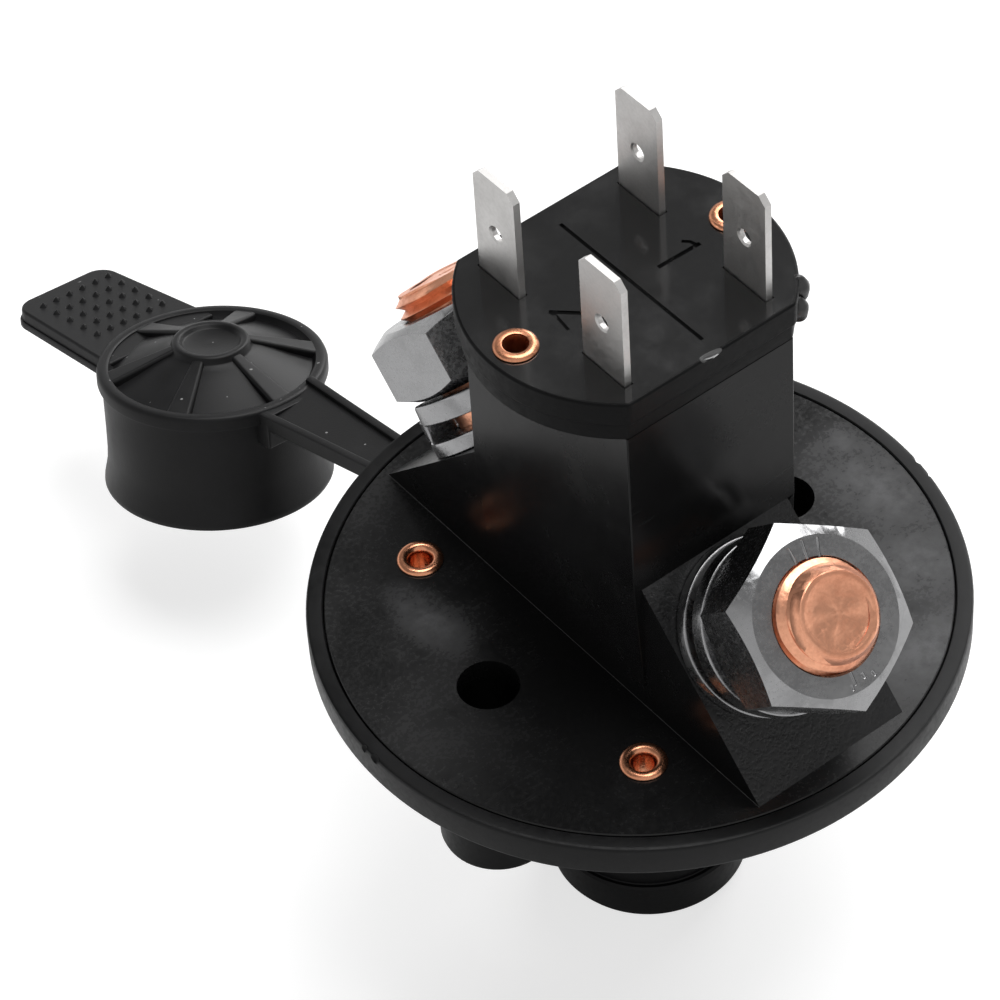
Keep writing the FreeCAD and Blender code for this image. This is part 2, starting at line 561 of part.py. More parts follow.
def make_eyelets(name, head, bottom, top, spots):
    """Hollow copper rivets: one turned eyelet, repeated as a group of solids."""
    master = new_body(name + "_master")
    profile = new_sketch(master, name + "_profile", "XZ_Plane")
    add_polygon(profile, [
        ("rivet_bore", bottom + " - rivet_head_height"), (head + " - 0.2", bottom + " - rivet_head_height"),
        (head, bottom), ("rivet_shank", bottom), ("rivet_shank", top), (head, top),
        (head + " - 0.5", top + " + rivet_head_height"), ("rivet_bore + 0.3", top + " + rivet_head_height"),
        ("rivet_bore", top + " + rivet_head_height - 0.3")])
    revolve(master, profile)
    doc.recompute()
    links = []
    for index, (x, y) in enumerate(spots):
        copy = doc.addObject("App::Link", "%s_copy_%d" % (name, index + 1))
        copy.LinkedObject = master
        copy.setExpression("Placement.Base.x", link(x))
        copy.setExpression("Placement.Base.y", link(y))
        links.append(copy)
    group = doc.addObject("Part::Compound", name)
    group.Label = name
    group.Links = links
    return group


def make_rotor():
    """Key rotor: key slot at the front, seal groove, and two helical lifting ramps at the rear."""
    body = new_body("key_rotor")
    profile = new_sketch(body, "rotor_profile", "XZ_Plane")
    add_polygon(profile, [
        ("0", "rotor_front"), ("rotor_radius", "rotor_front"),
        ("rotor_radius", "seal_level - seal_groove_width / 2"),
        ("rotor_radius - seal_groove_depth", "seal_level - seal_groove_width / 2"),
        ("rotor_radius - seal_groove_depth", "seal_level + seal_groove_width / 2"),
        ("rotor_radius", "seal_level + seal_groove_width / 2"),
        ("rotor_radius", "deck_height + switch_travel"), ("post_radius", "deck_height + switch_travel"),
        ("post_radius", "deck_height + post_height"), ("0", "deck_height + post_height")])
    revolve(body, profile)
    ramp = new_sketch(body, "ramp_section", "XZ_Plane")
    add_rectangle(ramp, "ramp_inner_radius", "deck_height", "rotor_radius + 1",
                  "deck_height + switch_travel + 1")
    rising = helix(body, ramp, "switch_travel * 360 / key_turn", "switch_travel", cut=True, left=True)
    rest = new_sketch(body, "ramp_foot", height="deck_height + switch_travel + 1")
    add_polygon(rest, [
        ("ramp_inner_radius", "-0.02"), ("rotor_radius + 1", "-0.02"),
        ("rotor_radius + 1", "carrier_peg_width + 0.8"), ("ramp_inner_radius", "carrier_peg_width")])
    foot = pocket(body, rest, "switch_travel + 1")
    polar(body, [rising, foot], 2)
    slot = new_sketch(body, "key_slot", height="collar_end + mouth_depth")
    add_rectangle(slot, "-key_slot_width / 2", "-key_slot_length / 2", "key_slot_width / 2",
                  "key_slot_length / 2")
    pocket(body, slot, "key_slot_depth", upward=True)
    return body


def make_rotor_seal():
    """Rubber ring in the rotor's groove."""
    body = new_body("rotor_seal")
    cord = new_sketch(body, "seal_cord", "XZ_Plane")
    add_many_sided(cord, "rotor_radius - seal_groove_depth + seal_cord_radius + 0.02", "seal_level",
                   "seal_cord_radius", 8)
    revolve(body, cord)
    return body


def make_carrier():
    """Contact carrier: pegs on the ramps, a seat for the bridge and the column through the shelf."""
    body = new_body("contact_carrier")
    profile = new_sketch(body, "carrier_profile", "XZ_Plane")
    bore = "post_radius + carrier_bore_clearance"
    add_polygon(profile, [
        (bore, "deck_height + carrier_hub_bottom"), ("carrier_hub_radius", "deck_height + carrier_hub_bottom"),
        ("carrier_hub_radius", "deck_height + carrier_hub_top"),
        ("carrier_seat_radius", "deck_height + carrier_hub_top"), ("carrier_seat_radius", "bridge_seat"),
        ("column_radius", "bridge_seat"), ("column_radius", "deck_height + column_top"),
        ("spigot_radius", "deck_height + column_top"), ("spigot_radius", "deck_height + spigot_top"),
        ("0", "deck_height + spigot_top"), ("0", "bridge_seat - 1.5"), (bore, "bridge_seat - 1.5")])
    revolve(body, profile)
    pegs = new_sketch(body, "carrier_pegs", height="deck_height + carrier_peg_gap")
    add_rectangle(pegs, "ramp_inner_radius + 0.3", "-carrier_peg_width / 2", "carrier_hub_radius - 0.1",
                  "carrier_peg_width / 2")
    add_rectangle(pegs, "-carrier_hub_radius + 0.1", "-carrier_peg_width / 2", "-ramp_inner_radius - 0.3",
                  "carrier_peg_width / 2")
    pad(body, pegs, "carrier_hub_bottom - carrier_peg_gap + 0.5")
    return body


def make_bridge():
    """Main contact bridge: a copper bar bent at both ends to meet the stud heads square."""
    body = new_body("main_bridge")
    bar = new_sketch(body, "bridge_profile", "YZ_Plane")
    flat = "bridge_reach - (bridge_top - deck_height)"
    inner_flat = "bridge_inner_reach - (bridge_seat - deck_height)"
    drop = "bridge_thickness * sin(wedge_angle * 1 deg)"
    right = [
        (inner_flat, "bridge_seat"),
        ("bridge_half_length - " + drop, "deck_height + bridge_reach - bridge_half_length - " + drop),
        ("bridge_half_length", "deck_height + bridge_reach - bridge_half_length"), (flat, "bridge_top")]
    left = [("-(%s)" % x, z) for x, z in reversed(right)]
    add_polygon(bar, right + left)
    pad(body, bar, "2 * bridge_half_width", symmetric=True)
    hole = new_sketch(body, "bridge_hole", height="bridge_top + 1")
    add_circle(hole, "0", "0", "column_radius + bridge_hole_clearance")
    pocket(body, hole, "bridge_thickness + 2")
    return body


def make_spring():
    """Return spring between the shelf and the bridge."""
    body = new_body("return_spring")
    wire = new_sketch(body, "spring_wire_section", "XZ_Plane")
    add_many_sided(wire, "spring_radius", "bridge_top + spring_wire + spring_end_gap", "spring_wire", 6)
    run = "(deck_height + shelf_bottom - bridge_top - 2 * spring_wire - 2 * spring_end_gap)"
    helix(body, wire, run + " / spring_coils", run)
    return body


def make_yoke():
    """Auxiliary carrier pressed on the column's spigot, with a pin for each contact strip."""
    body = new_body("auxiliary_carrier")
    bar = new_sketch(body, "yoke_outline", height="deck_height + yoke_bottom")
    add_rectangle(bar, "-yoke_half_length", "-yoke_half_width", "yoke_half_length", "yoke_half_width")
    add_circle(bar, "0", "0", "spigot_radius")
    pad(body, bar, "yoke_thickness")
    pins = new_sketch(body, "strip_pins", height="deck_height + yoke_bottom + yoke_thickness - 0.5")
    add_circle(pins, "strip_x", "0", "strip_pin_radius")
    add_circle(pins, "-strip_x", "0", "strip_pin_radius")
    pad(body, pins, "0.5 + strip_thickness + 0.4")
    return body


def make_strip(name, side):
    """Auxiliary contact strip that joins one pair of blades when the carrier is up."""
    body = new_body(name)
    outline = new_sketch(body, name + "_outline", height="deck_height + yoke_bottom + yoke_thickness")
    sign = "" if side > 0 else "-"
    add_rectangle(outline, sign + "strip_x - strip_width / 2", "-strip_half_length",
                  sign + "strip_x + strip_width / 2", "strip_half_length")
    add_circle(outline, sign + "strip_x", "0", "strip_pin_radius + 0.05")
    pad(body, outline, "strip_thickness")
    return body


def strap_frame():
    """Placement chain from the key axis to the strap's first fold."""
    return [("turn_z", "swivel_angle"), ("move", ("0", "fold_radius", "strap_level")),
            ("turn_x", "-strap_slope")]


def cap_frame():
    """Placement chain from the strap's first fold to the middle of the cap's top."""
    return [("move", ("0", "strap_length", "0")), ("turn_z", "cap_yaw"),
            ("move", ("0", "cap_fold_radius", "0")), ("turn_y", "cap_twist"),
            ("move", ("0", "0", "strap_thickness / 2"))]


def cap_fold():
    """Frame of the cap's fold in the strap's frame: X along its axis, origin in the strap's middle.

    Turning about this one axis carries the cap from its twisted rest pose to upside down over the
    collar's end, once the strap itself hangs straight down.
    """
    rest = chain_placement(cap_frame())
    rest_normal = rest.Rotation.multVec(Vector(0, 0, 1))
    closed = Vector(0, size("strap_level - collar_end + cap_top + closed_gap"), -size("fold_radius"))
    closed_normal = Vector(0, 1, 0)
    shift = closed - rest.Base
    across = rest_normal.cross(closed_normal).normalize()
    middle = (rest_normal + closed_normal).normalize()
    lean = math.atan2(-across.dot(shift), middle.dot(shift))
    if math.cos(lean) < 0:
        lean += math.pi
    axis = across * math.cos(lean) + middle * math.sin(lean)
    start = rest_normal - axis * rest_normal.dot(axis)
    end = closed_normal - axis * closed_normal.dot(axis)
    angle = math.atan2(axis.dot(start.cross(end)), start.dot(end))
    point = (rest.Base + closed) * 0.5 + axis.cross(shift) * (0.5 / math.tan(angle / 2))
    point = point - axis * (point.x / axis.x)
    across = axis * (1 if axis.x > 0 else -1)
    along = (Vector(0, 1, 0) - across * across.y).normalize()
    return Placement(point, Rotation(across, along, across.cross(along), "XYZ"))


def add_necked_bar(sketch, root, tip, level):
    """Outline of a flat bar that thins towards a fold: root and tip are places along it."""
    side = "-" if size(tip) > size(root) else "+"
    long_way = "%s %s neck_length" % (tip, side)
    short_way = "%s %s neck_round" % (tip, side)
    add_polygon(sketch, [
        (root, level + " - strap_thickness / 2"), (long_way, level + " - strap_thickness / 2"),
        (short_way, level + " - neck_thickness / 2"), (tip, level + " - neck_thickness / 2 + neck_round"),
        (tip, level + " + neck_thickness / 2 - neck_round"), (short_way, level + " + neck_thickness / 2"),
        (long_way, level + " + strap_thickness / 2"), (root, level + " + strap_thickness / 2")])


def make_cap_ring():
    """Rubber ring round the collar, with the root of the strap."""
    body = new_body("cap_ring")
    ring = new_sketch(body, "ring_outline", height="strap_level - ring_height / 2")
    add_circle(ring, "0", "0", "ring_radius")
    add_circle(ring, "0", "0", "collar_radius + ring_clearance")
    pad(body, ring, "ring_height")
    root = new_sketch(body, "strap_root", "YZ_Plane")
    add_necked_bar(root, "ring_radius - 1", "fold_radius - fold_gap", "strap_level")
    pad(body, root, "2 * strap_half_width", symmetric=True)
    place(body, [("turn_z", "swivel_angle")])
    return body


def strap_section(sketch, half_width):
    """Strap section: a thin web between two raised edge beads."""
    inner = "(%s - strap_bead)" % half_width
    add_polygon(sketch, [
        ("-" + half_width, "-strap_thickness / 2"), ("-" + inner, "-strap_thickness / 2"),
        ("-" + inner, "-strap_web / 2"), (inner, "-strap_web / 2"), (inner, "-strap_thickness / 2"),
        (half_width, "-strap_thickness / 2"), (half_width, "strap_thickness / 2"),
        (inner, "strap_thickness / 2"), (inner, "strap_web / 2"), ("-" + inner, "strap_web / 2"),
        ("-" + inner, "strap_thickness / 2"), ("-" + half_width, "strap_thickness / 2")])


def across_fold(sketch, frame):
    """Turn a sketch on the YZ plane so that it stands square to a fold's axis."""
    plane = Placement(Vector(), Rotation(Vector(0, 1, 0), Vector(0, 0, 1), Vector(1, 0, 0), "XYZ"))
    turned = frame.multiply(plane)
    sketch.AttachmentOffset = plane.inverse().multiply(turned)


def make_strap():
    """Strap from the ring to the cap: it widens and twists on the way."""
    body = new_body("cap_strap")
    fold = cap_fold()
    lean = math.degrees(math.atan2(-fold.Rotation.multVec(Vector(1, 0, 0)).z,
                                   fold.Rotation.multVec(Vector(1, 0, 0)).x))
    near = new_sketch(body, "strap_near", "XZ_Plane", height="-(fold_gap + neck_length + 0.1)")
    strap_section(near, "strap_half_width")
    waist = new_sketch(body, "strap_waist", "XZ_Plane")
    half_way = "-(strap_length * strap_waist_share)"
    waist.AttachmentOffset = Placement(Vector(0, 0, size(half_way)), Rotation(Vector(0, 0, 1), -lean / 3))
    waist.setExpression("AttachmentOffset.Base.z", link(half_way))
    strap_section(waist, "strap_half_width")
    far = new_sketch(body, "strap_far", "XZ_Plane")
    reach = "-(strap_length - fold_gap - neck_length - 0.6)"
    far.AttachmentOffset = Placement(Vector(0, 0, size(reach)), Rotation(Vector(0, 0, 1), -lean))
    far.setExpression("AttachmentOffset.Base.z", link(reach))
    strap_section(far, "strap_wide_half_width")
    run = body.newObject("PartDesign::AdditiveLoft", "strap_run")
    run.Profile = near
    run.Sections = [waist, far]
    run.Ruled = True
    body.Tip = run
    first = new_sketch(body, "strap_first_neck", "YZ_Plane")
    add_necked_bar(first, "fold_gap + neck_length + 1", "fold_gap", "0")
    pad(body, first, "2 * strap_half_width", symmetric=True)
    last = new_sketch(body, "strap_last_neck", "YZ_Plane")
    across_fold(last, fold)
    add_necked_bar(last, "-(fold_gap + neck_length + 1.6)", "-fold_gap", "0")
    pad(body, last, "2 * strap_wide_half_width", symmetric=True)
    place(body, strap_frame())
    return body


def make_splash_cap():
    """Splash cap: waisted skirt, spoked top, textured pull tab and the wide end of the strap."""
    body = new_body("splash_cap")
    profile = new_sketch(body, "cap_profile", "XZ_Plane")
    add_polygon(profile, [
        ("0", "-cap_top"), ("cap_bore - 1", "-cap_top"), ("cap_bore", "-cap_top - 1"),
        ("cap_bore", "-cap_height"), ("cap_radius - 0.2", "-cap_height"),
        ("cap_waist_radius", "-cap_height + cap_flare"), ("cap_waist_radius", "-cap_bead - 0.4"),
        ("cap_radius", "-cap_bead"), ("cap_radius", "-0.3"), ("cap_radius - 0.3", "0"),
        ("cap_radius - cap_rim_width", "0"), ("cap_radius - cap_rim_width - 0.4", "-cap_recess"),
        ("cap_hub_radius + 0.3", "cap_dome - cap_recess"), ("cap_hub_radius", "cap_dome - 0.1"),
        ("cap_hub_radius - 0.2", "cap_dome"), ("cap_hub_radius - hub_rim", "cap_dome"),
        ("cap_hub_radius - hub_rim - 0.2", "cap_dome - hub_recess"), ("0", "cap_dome - hub_recess")])
    revolve(body, profile)
    spoke = new_sketch(body, "spoke_outline")
    spoke.AttachmentOffset = Placement(Vector(0, 0, -size("cap_recess") - 0.5),
                                       Rotation(Vector(0, 0, 1), size("spoke_start")))
    spoke.setExpression("AttachmentOffset.Base.z", link("-cap_recess - 0.5"))
    add_polygon(spoke, [
        ("cap_hub_radius - 0.6", "-spoke_inner"), ("cap_radius - 0.8", "-spoke_outer"),
        ("cap_radius - 0.8", "spoke_outer"), ("cap_hub_radius - 0.6", "spoke_inner")])
    first = pad(body, spoke, "cap_recess + 0.4 + cap_dome")
    polar(body, [first], int(size("spokes")))
    slope = new_sketch(body, "spoke_slope", "XZ_Plane")
    add_polygon(slope, [
        ("cap_hub_radius", "cap_dome - 0.25"), ("cap_radius - cap_rim_width", "-0.15"),
        ("cap_radius - 0.75", "0.02"), ("cap_radius - 0.75", "cap_dome + 1"),
        ("cap_hub_radius", "cap_dome + 1")])
    revolve(body, slope, cut=True)
    tab = new_sketch(body, "tab_outline", height="-tab_thickness - tab_drop")
    add_polygon(tab, [
        ("-tab_half_width", "cap_waist_radius * 0.6"), ("tab_half_width", "cap_waist_radius * 0.6"),
        ("tab_end_half_width", "tab_reach - tab_corner"),
        ("tab_end_half_width - tab_corner * 0.3", "tab_reach - tab_corner * 0.3"),
        ("tab_end_half_width - tab_corner", "tab_reach"), ("-tab_end_half_width + tab_corner", "tab_reach"),
        ("-tab_end_half_width + tab_corner * 0.3", "tab_reach - tab_corner * 0.3"),
        ("-tab_end_half_width", "tab_reach - tab_corner")])
    pad(body, tab, "tab_thickness")
    stub = new_sketch(body, "strap_stub", "YZ_Plane")
    across_fold(stub, chain_placement(cap_frame()).inverse().multiply(cap_fold()))
    add_necked_bar(stub, "cap_fold_radius - cap_waist_radius + 1.2", "fold_gap", "0")
    pad(body, stub, "2 * strap_wide_half_width", symmetric=True)
    gusset = new_sketch(body, "strap_gusset", height="-gusset_height")
    add_rectangle(gusset, "-gusset_half_width", "-cap_radius - gusset_reach", "gusset_half_width",
                  "-cap_waist_radius + 0.6")
    pad(body, gusset, "gusset_height - 0.1")
    room = new_sketch(body, "cap_room", height="-cap_top")
    add_circle(room, "0", "0", "cap_bore - 1")
    pocket(body, room, "cap_height")
    place(body, strap_frame() + cap_frame())
    return body


def build():
    """Build every piece and return the objects that become nodes."""
    nodes = [make_front_flange(), make_rear_body(), make_lid()]
    for name, side_x, side_y in (("blade_terminal_1", -1, 1), ("blade_terminal_2", 1, 1),
                                 ("blade_terminal_3", 1, -1), ("blade_terminal_4", -1, -1)):
        nodes.append(make_blade(name, side_x, side_y))
    for name, side, split, turn in (("near", -1, "60", "1.5"), ("far", 1, "161", "12")):
        nodes.append(make_stud("stud_" + name, side))
        nodes.append(make_flat_washer("flat_washer_" + name, side))
        nodes.append(make_lock_washer("lock_washer_" + name, side, split))
        nodes.append(make_nut("hex_nut_" + name, side, turn))
    nodes.append(make_eyelets("disc_rivets", "rivet_head", "flange_bottom", "deck_height", [
        ("disc_rivet_x", "disc_rivet_y"), ("-disc_rivet_x", "disc_rivet_y"),
        ("-disc_rivet_x", "-disc_rivet_y"), ("disc_rivet_x", "-disc_rivet_y")]))
    nodes.append(make_eyelets("lid_rivets", "lid_rivet_head", "(deck_height + ear_bottom)", "lid_top", [
        ("lid_rivet_x", "0"), ("-lid_rivet_x", "0")]))
    nodes += [make_rotor(), make_rotor_seal(), make_carrier(), make_bridge(), make_spring(), make_yoke()]
    nodes += [make_strip("auxiliary_strip_1", -1), make_strip("auxiliary_strip_2", 1)]
    nodes += [make_cap_ring(), make_strap(), make_splash_cap()]
    return nodes


def check_and_write(nodes):
    """Refuse a broken document, then write one STEP file a node."""
    os.makedirs("parts", exist_ok=True)
    for item in doc.Objects:
        if "Invalid" in item.State or "Error" in item.State:
            raise RuntimeError("%s is in state %s" % (item.Name, item.State))
    for node in nodes:
        if node.Shape.isNull() or not node.Shape.isValid():
            raise RuntimeError("%s has no valid shape" % node.Label)
        node.Shape.exportStep("parts/%s.step" % node.Label)


fill_sheet()
pieces = build()
doc.recompute()
check_and_write(pieces)
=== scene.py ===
"""Battery disconnect switch, seen from its rear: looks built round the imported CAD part.

Sizes are in millimetres while a piece is being made. Each finished piece is turned into metres in
the row's frame: Z along the key axis, X along the mounting holes, Y along the main studs.
"""

import logging
import math
from dataclasses import dataclass, field
from enum import Enum
from typing import Callable, Iterable

import bmesh
import bpy
from mathutils import Matrix, Vector

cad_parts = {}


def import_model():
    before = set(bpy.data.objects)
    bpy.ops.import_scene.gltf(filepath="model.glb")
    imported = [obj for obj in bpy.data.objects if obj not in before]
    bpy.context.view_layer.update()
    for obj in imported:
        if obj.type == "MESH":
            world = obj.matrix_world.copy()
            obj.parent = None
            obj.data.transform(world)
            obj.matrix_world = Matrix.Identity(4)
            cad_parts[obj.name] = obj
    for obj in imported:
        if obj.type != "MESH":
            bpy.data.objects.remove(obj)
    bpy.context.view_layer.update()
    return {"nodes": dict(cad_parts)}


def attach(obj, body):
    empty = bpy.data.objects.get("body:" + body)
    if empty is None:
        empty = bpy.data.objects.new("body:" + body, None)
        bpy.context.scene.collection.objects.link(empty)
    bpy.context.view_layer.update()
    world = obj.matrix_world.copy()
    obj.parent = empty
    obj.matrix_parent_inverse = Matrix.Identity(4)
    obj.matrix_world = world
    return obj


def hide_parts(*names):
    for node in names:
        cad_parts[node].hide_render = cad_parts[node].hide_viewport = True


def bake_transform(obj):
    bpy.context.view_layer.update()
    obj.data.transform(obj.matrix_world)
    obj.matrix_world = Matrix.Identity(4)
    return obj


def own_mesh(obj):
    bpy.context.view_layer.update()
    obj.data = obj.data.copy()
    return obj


LOG = logging.getLogger("switch")
MM = 0.001
Point = tuple[float, float, float]
Pair = tuple[float, float]
Piece = bpy.types.Object
Node = bpy.types.Node
Socket = bpy.types.NodeSocket
HERE = Matrix.Identity(4)
BOTH = (-1, 1)

# Places that several classes share, in millimetres
MOUNT_X, MOUNT_HOLE = 20.1, 3.3
RIVET_X, RIVET_Y, RIVET_HOLE = 14.65, 18.5, 1.7
LID_RIVET_X = 13.7
STUD_Y, STUD_Z = 19.69, 14.91


class Side(Enum):
    """The two studs, named by where they stand on the Y axis."""

    NEAR = -1
    FAR = 1

    @property
    def label(self) -> str:
        """Ending of the stud's node names."""
        return self.name.lower()


class Part(Enum):
    """Kinds of mesh item that an edit-mode selection works on."""

    VERT = "VERT"
    EDGE = "EDGE"
    FACE = "FACE"


# Shader building


class Graph:
    """A material's or group's node tree, with short ways to add and join nodes."""

    def __init__(self, tree: bpy.types.NodeTree) -> None:
        """Keep the tree.

        Args:
            tree: node tree to add to.
        """
        self.tree = tree

    def add(self, kind: str, **settings: object) -> Node:
        """Add a node and set its properties.

        Args:
            kind: Blender's name of the node type.
            settings: properties of the node, by name.

        Returns:
            The new node.
        """
        node = self.tree.nodes.new(kind)
        for name, value in settings.items():
            setattr(node, name, value)
        return node

    def join(self, source: Socket, target: Socket) -> None:
        """Link two sockets."""
        self.tree.links.new(source, target)

    def math(self, operation: str, first: object, second: object = 0.0, clamp: bool = False) -> Socket:
        """Add a Math node.

        Args:
            operation: what it does, such as MULTIPLY.
            first: a socket or a number.
            second: a socket or a number.
            clamp: keep the result between 0 and 1.

        Returns:
            The value socket.
        """
        node = self.add("ShaderNodeMath", operation=operation, use_clamp=clamp)
        for index, value in enumerate((first, second)):
            if isinstance(value, Socket):
                self.join(value, node.inputs[index])
            else:
                node.inputs[index].default_value = value
        return node.outputs[0]

    def ramp(self, value: Socket, low: float, high: float, start: float = 0.0, end: float = 1.0) -> Socket:
        """Map a value's span from low to high onto start to end, clamped.

        Args:
            value: socket to read.
            low: value that gives start.
            high: value that gives end.
            start: result at low.
            end: result at high.

        Returns:
            The mapped value socket.
        """
        node = self.add("ShaderNodeMapRange")
        self.join(value, node.inputs["Value"])
        for name, number in (("From Min", low), ("From Max", high), ("To Min", start), ("To Max", end)):
            node.inputs[name].default_value = number
        return node.outputs[0]

    def noise(self, coordinates: Socket, scale: object, detail: float = 3.0, rough: float = 0.55) -> Socket:
        """Add a Noise texture on given coordinates.

        Args:
            coordinates: vector socket.
            scale: a number or a socket.
            detail: octaves.
            rough: share of the finer octaves.

        Returns:
            The noise value, from 0 to 1.
        """
        node = self.add("ShaderNodeTexNoise")
        self.join(coordinates, node.inputs["Vector"])
        if isinstance(scale, Socket):
            self.join(scale, node.inputs["Scale"])
        else:
            node.inputs["Scale"].default_value = scale
        node.inputs["Detail"].default_value = detail
        node.inputs["Roughness"].default_value = rough
        return node.outputs["Fac"]


class Effects:
    """Shader node groups that several finishes share. Each is built once."""

    @staticmethod
    def group(
        name: str, inputs: Iterable[tuple[str, str, float]], outputs: Iterable[tuple[str, str]]
    ) -> tuple[bpy.types.NodeTree, bool]:
        """Find a group, or make it with its sockets.

        Args:
            name: the group's name.
            inputs: name, socket type and default of each input.
            outputs: name and socket type of each output.

        Returns:
            The group, and whether it is new.
        """
        found = bpy.data.node_groups.get(name)
        if found:
            return found, False
        made = bpy.data.node_groups.new(name, "ShaderNodeTree")
        for title, kind, default in inputs:
            socket = made.interface.new_socket(title, in_out="INPUT", socket_type=kind)
            if kind == "NodeSocketFloat":
                socket.default_value = default
        for title, kind in outputs:
            made.interface.new_socket(title, in_out="OUTPUT", socket_type=kind)
        made.nodes.new("NodeGroupInput")
        made.nodes.new("NodeGroupOutput")
        return made, True

    @staticmethod
    def grain() -> bpy.types.NodeTree:
        """Fine moulded or cast grain: a height and a mask.

        Returns:
            Group with inputs Size, Vector and outputs Height, Mask.
        """
        made, new = Effects.group(
            "MouldGrain",
            [("Vector", "NodeSocketVector", 0.0), ("Size", "NodeSocketFloat", 0.5)],
            [("Height", "NodeSocketFloat"), ("Mask", "NodeSocketFloat")],
        )
        if not new:
            return made
        graph = Graph(made)
        inlet, outlet = made.nodes["Group Input"], made.nodes["Group Output"]
        scale = graph.math("DIVIDE", 1000.0, inlet.outputs["Size"])
        fine = graph.noise(inlet.outputs["Vector"], scale, 2.0, 0.6)
        broad = graph.noise(inlet.outputs["Vector"], graph.math("MULTIPLY", scale, 0.31), 3.0, 0.6)
        height = graph.math("ADD", graph.math("MULTIPLY", fine, 0.7), graph.math("MULTIPLY", broad, 0.3))
        graph.join(height, outlet.inputs["Height"])
        graph.join(graph.ramp(height, 0.42, 0.62), outlet.inputs["Mask"])
        return made

    @staticmethod
    def scuffs() -> bpy.types.NodeTree:
        """Soft stains and thin handling scratches.

        Returns:
            Group with input Vector and outputs Stain, Scratch.
        """
        made, new = Effects.group(
            "Handling",
            [("Vector", "NodeSocketVector", 0.0)],
            [("Stain", "NodeSocketFloat"), ("Scratch", "NodeSocketFloat")],
        )
        if not new:
            return made
        graph = Graph(made)
        inlet, outlet = made.nodes["Group Input"], made.nodes["Group Output"]
        vector = inlet.outputs["Vector"]
        stain = graph.ramp(graph.noise(vector, 90.0, 4.0, 0.62), 0.45, 0.68)
        graph.join(stain, outlet.inputs["Stain"])
        scratches = None
        for turn, stretch in ((0.4, 30.0), (1.9, 24.0)):
            mapping = graph.add("ShaderNodeMapping")
            graph.join(vector, mapping.inputs["Vector"])
            mapping.inputs["Rotation"].default_value = (0.3, 0.2, turn)
            mapping.inputs["Scale"].default_value = (1.0, stretch, stretch)
            lines = graph.ramp(graph.noise(mapping.outputs[0], 60.0, 2.0, 0.5), 0.66, 0.70)
            scratches = lines if scratches is None else graph.math("MAXIMUM", scratches, lines)
        broken = graph.math("MULTIPLY", scratches, graph.ramp(graph.noise(vector, 160.0, 2.0), 0.5, 0.6))
        graph.join(broken, outlet.inputs["Scratch"])
        return made

    @staticmethod
    def place(graph: Graph, made: bpy.types.NodeTree) -> Node:
        """Put a group into a material on its Object coordinates.

        Args:
            graph: the material's graph.
            made: group with a Vector input.

        Returns:
            The group's node.
        """
        node = graph.add("ShaderNodeGroup")
        node.node_tree = made
        coordinates = graph.add("ShaderNodeTexCoord")
        graph.join(coordinates.outputs["Object"], node.inputs["Vector"])
        return node


@dataclass(frozen=True)
class Finish:
    """One finish: what every material here starts from.

    Attributes:
        name: the material's name.
        slot: the record's material slot.
        color: linear base colour.
        roughness: mean roughness.
        metallic: 0 or 1.
        specular: level of its clear reflections.
    """

    name: str
    slot: str
    color: Point
    roughness: float
    metallic: float = 0.0
    specular: float = 0.5

    def material(self) -> bpy.types.Material:
        """Find or build the material.

        Returns:
            The material, with its nodes in place.
        """
        found = bpy.data.materials.get(self.name)
        if found:
            return found
        made = bpy.data.materials.new(self.name)
        made.use_nodes = True
        graph = Graph(made.node_tree)
        shader = made.node_tree.nodes["Principled BSDF"]
        shader.inputs["Base Color"].default_value = (*self.color, 1.0)
        shader.inputs["Roughness"].default_value = self.roughness
        shader.inputs["Metallic"].default_value = self.metallic
        shader.inputs["Specular IOR Level"].default_value = self.specular
        self.detail(graph, shader)
        return made

    def detail(self, graph: Graph, shader: Node) -> None:
        """Add the finish's own nodes. A plain finish has a slight change of roughness.

        Args:
            graph: the material's graph.
            shader: its Principled BSDF.
        """
        stains = Effects.place(graph, Effects.scuffs())
        rough = graph.ramp(stains.outputs["Stain"], 0.0, 1.0, self.roughness * 0.9, self.roughness * 1.15)
        graph.join(rough, shader.inputs["Roughness"])

    @staticmethod
    def wear(graph: Graph, size: float) -> tuple[Node, Node]:
        """Place the two groups of effects that the moulded, metal and rubber finishes share.

        Args:
            graph: the material's graph.
            size: size of the grain in millimetres.

        Returns:
            The scuffs and the grain.
        """
        handled = Effects.place(graph, Effects.scuffs())
        grain = Effects.place(graph, Effects.grain())
        grain.inputs["Size"].default_value = size
        return handled, grain

    def mix(self, graph: Graph, mask: Socket, other: Point, below: Socket | None = None) -> Socket:
        """Mix the base colour with another by a mask.

        Args:
            graph: the material's graph.
            mask: 0 keeps the base, 1 gives the other colour.
            other: the other colour.
            below: colour socket to use as the base.

        Returns:
            The colour socket.
        """
        node = graph.add("ShaderNodeMix", data_type="RGBA")
        graph.join(mask, node.inputs["Factor"])
        if below is None:
            node.inputs["A"].default_value = (*self.color, 1.0)
        else:
            graph.join(below, node.inputs["A"])
        node.inputs["B"].default_value = (*other, 1.0)
        return node.outputs["Result"]

    def bump(self, graph: Graph, shader: Node, height: Socket, depth: float) -> None:
        """Feed a height to the shader's normal.

        Args:
            graph: the material's graph.
            shader: its Principled BSDF.
            height: value socket from 0 to 1.
            depth: height of the relief in metres.
        """
        node = graph.add("ShaderNodeBump")
        node.inputs["Strength"].default_value = 1.0
        node.inputs["Distance"].default_value = depth
        graph.join(height, node.inputs["Height"])
        graph.join(node.outputs["Normal"], shader.inputs["Normal"])


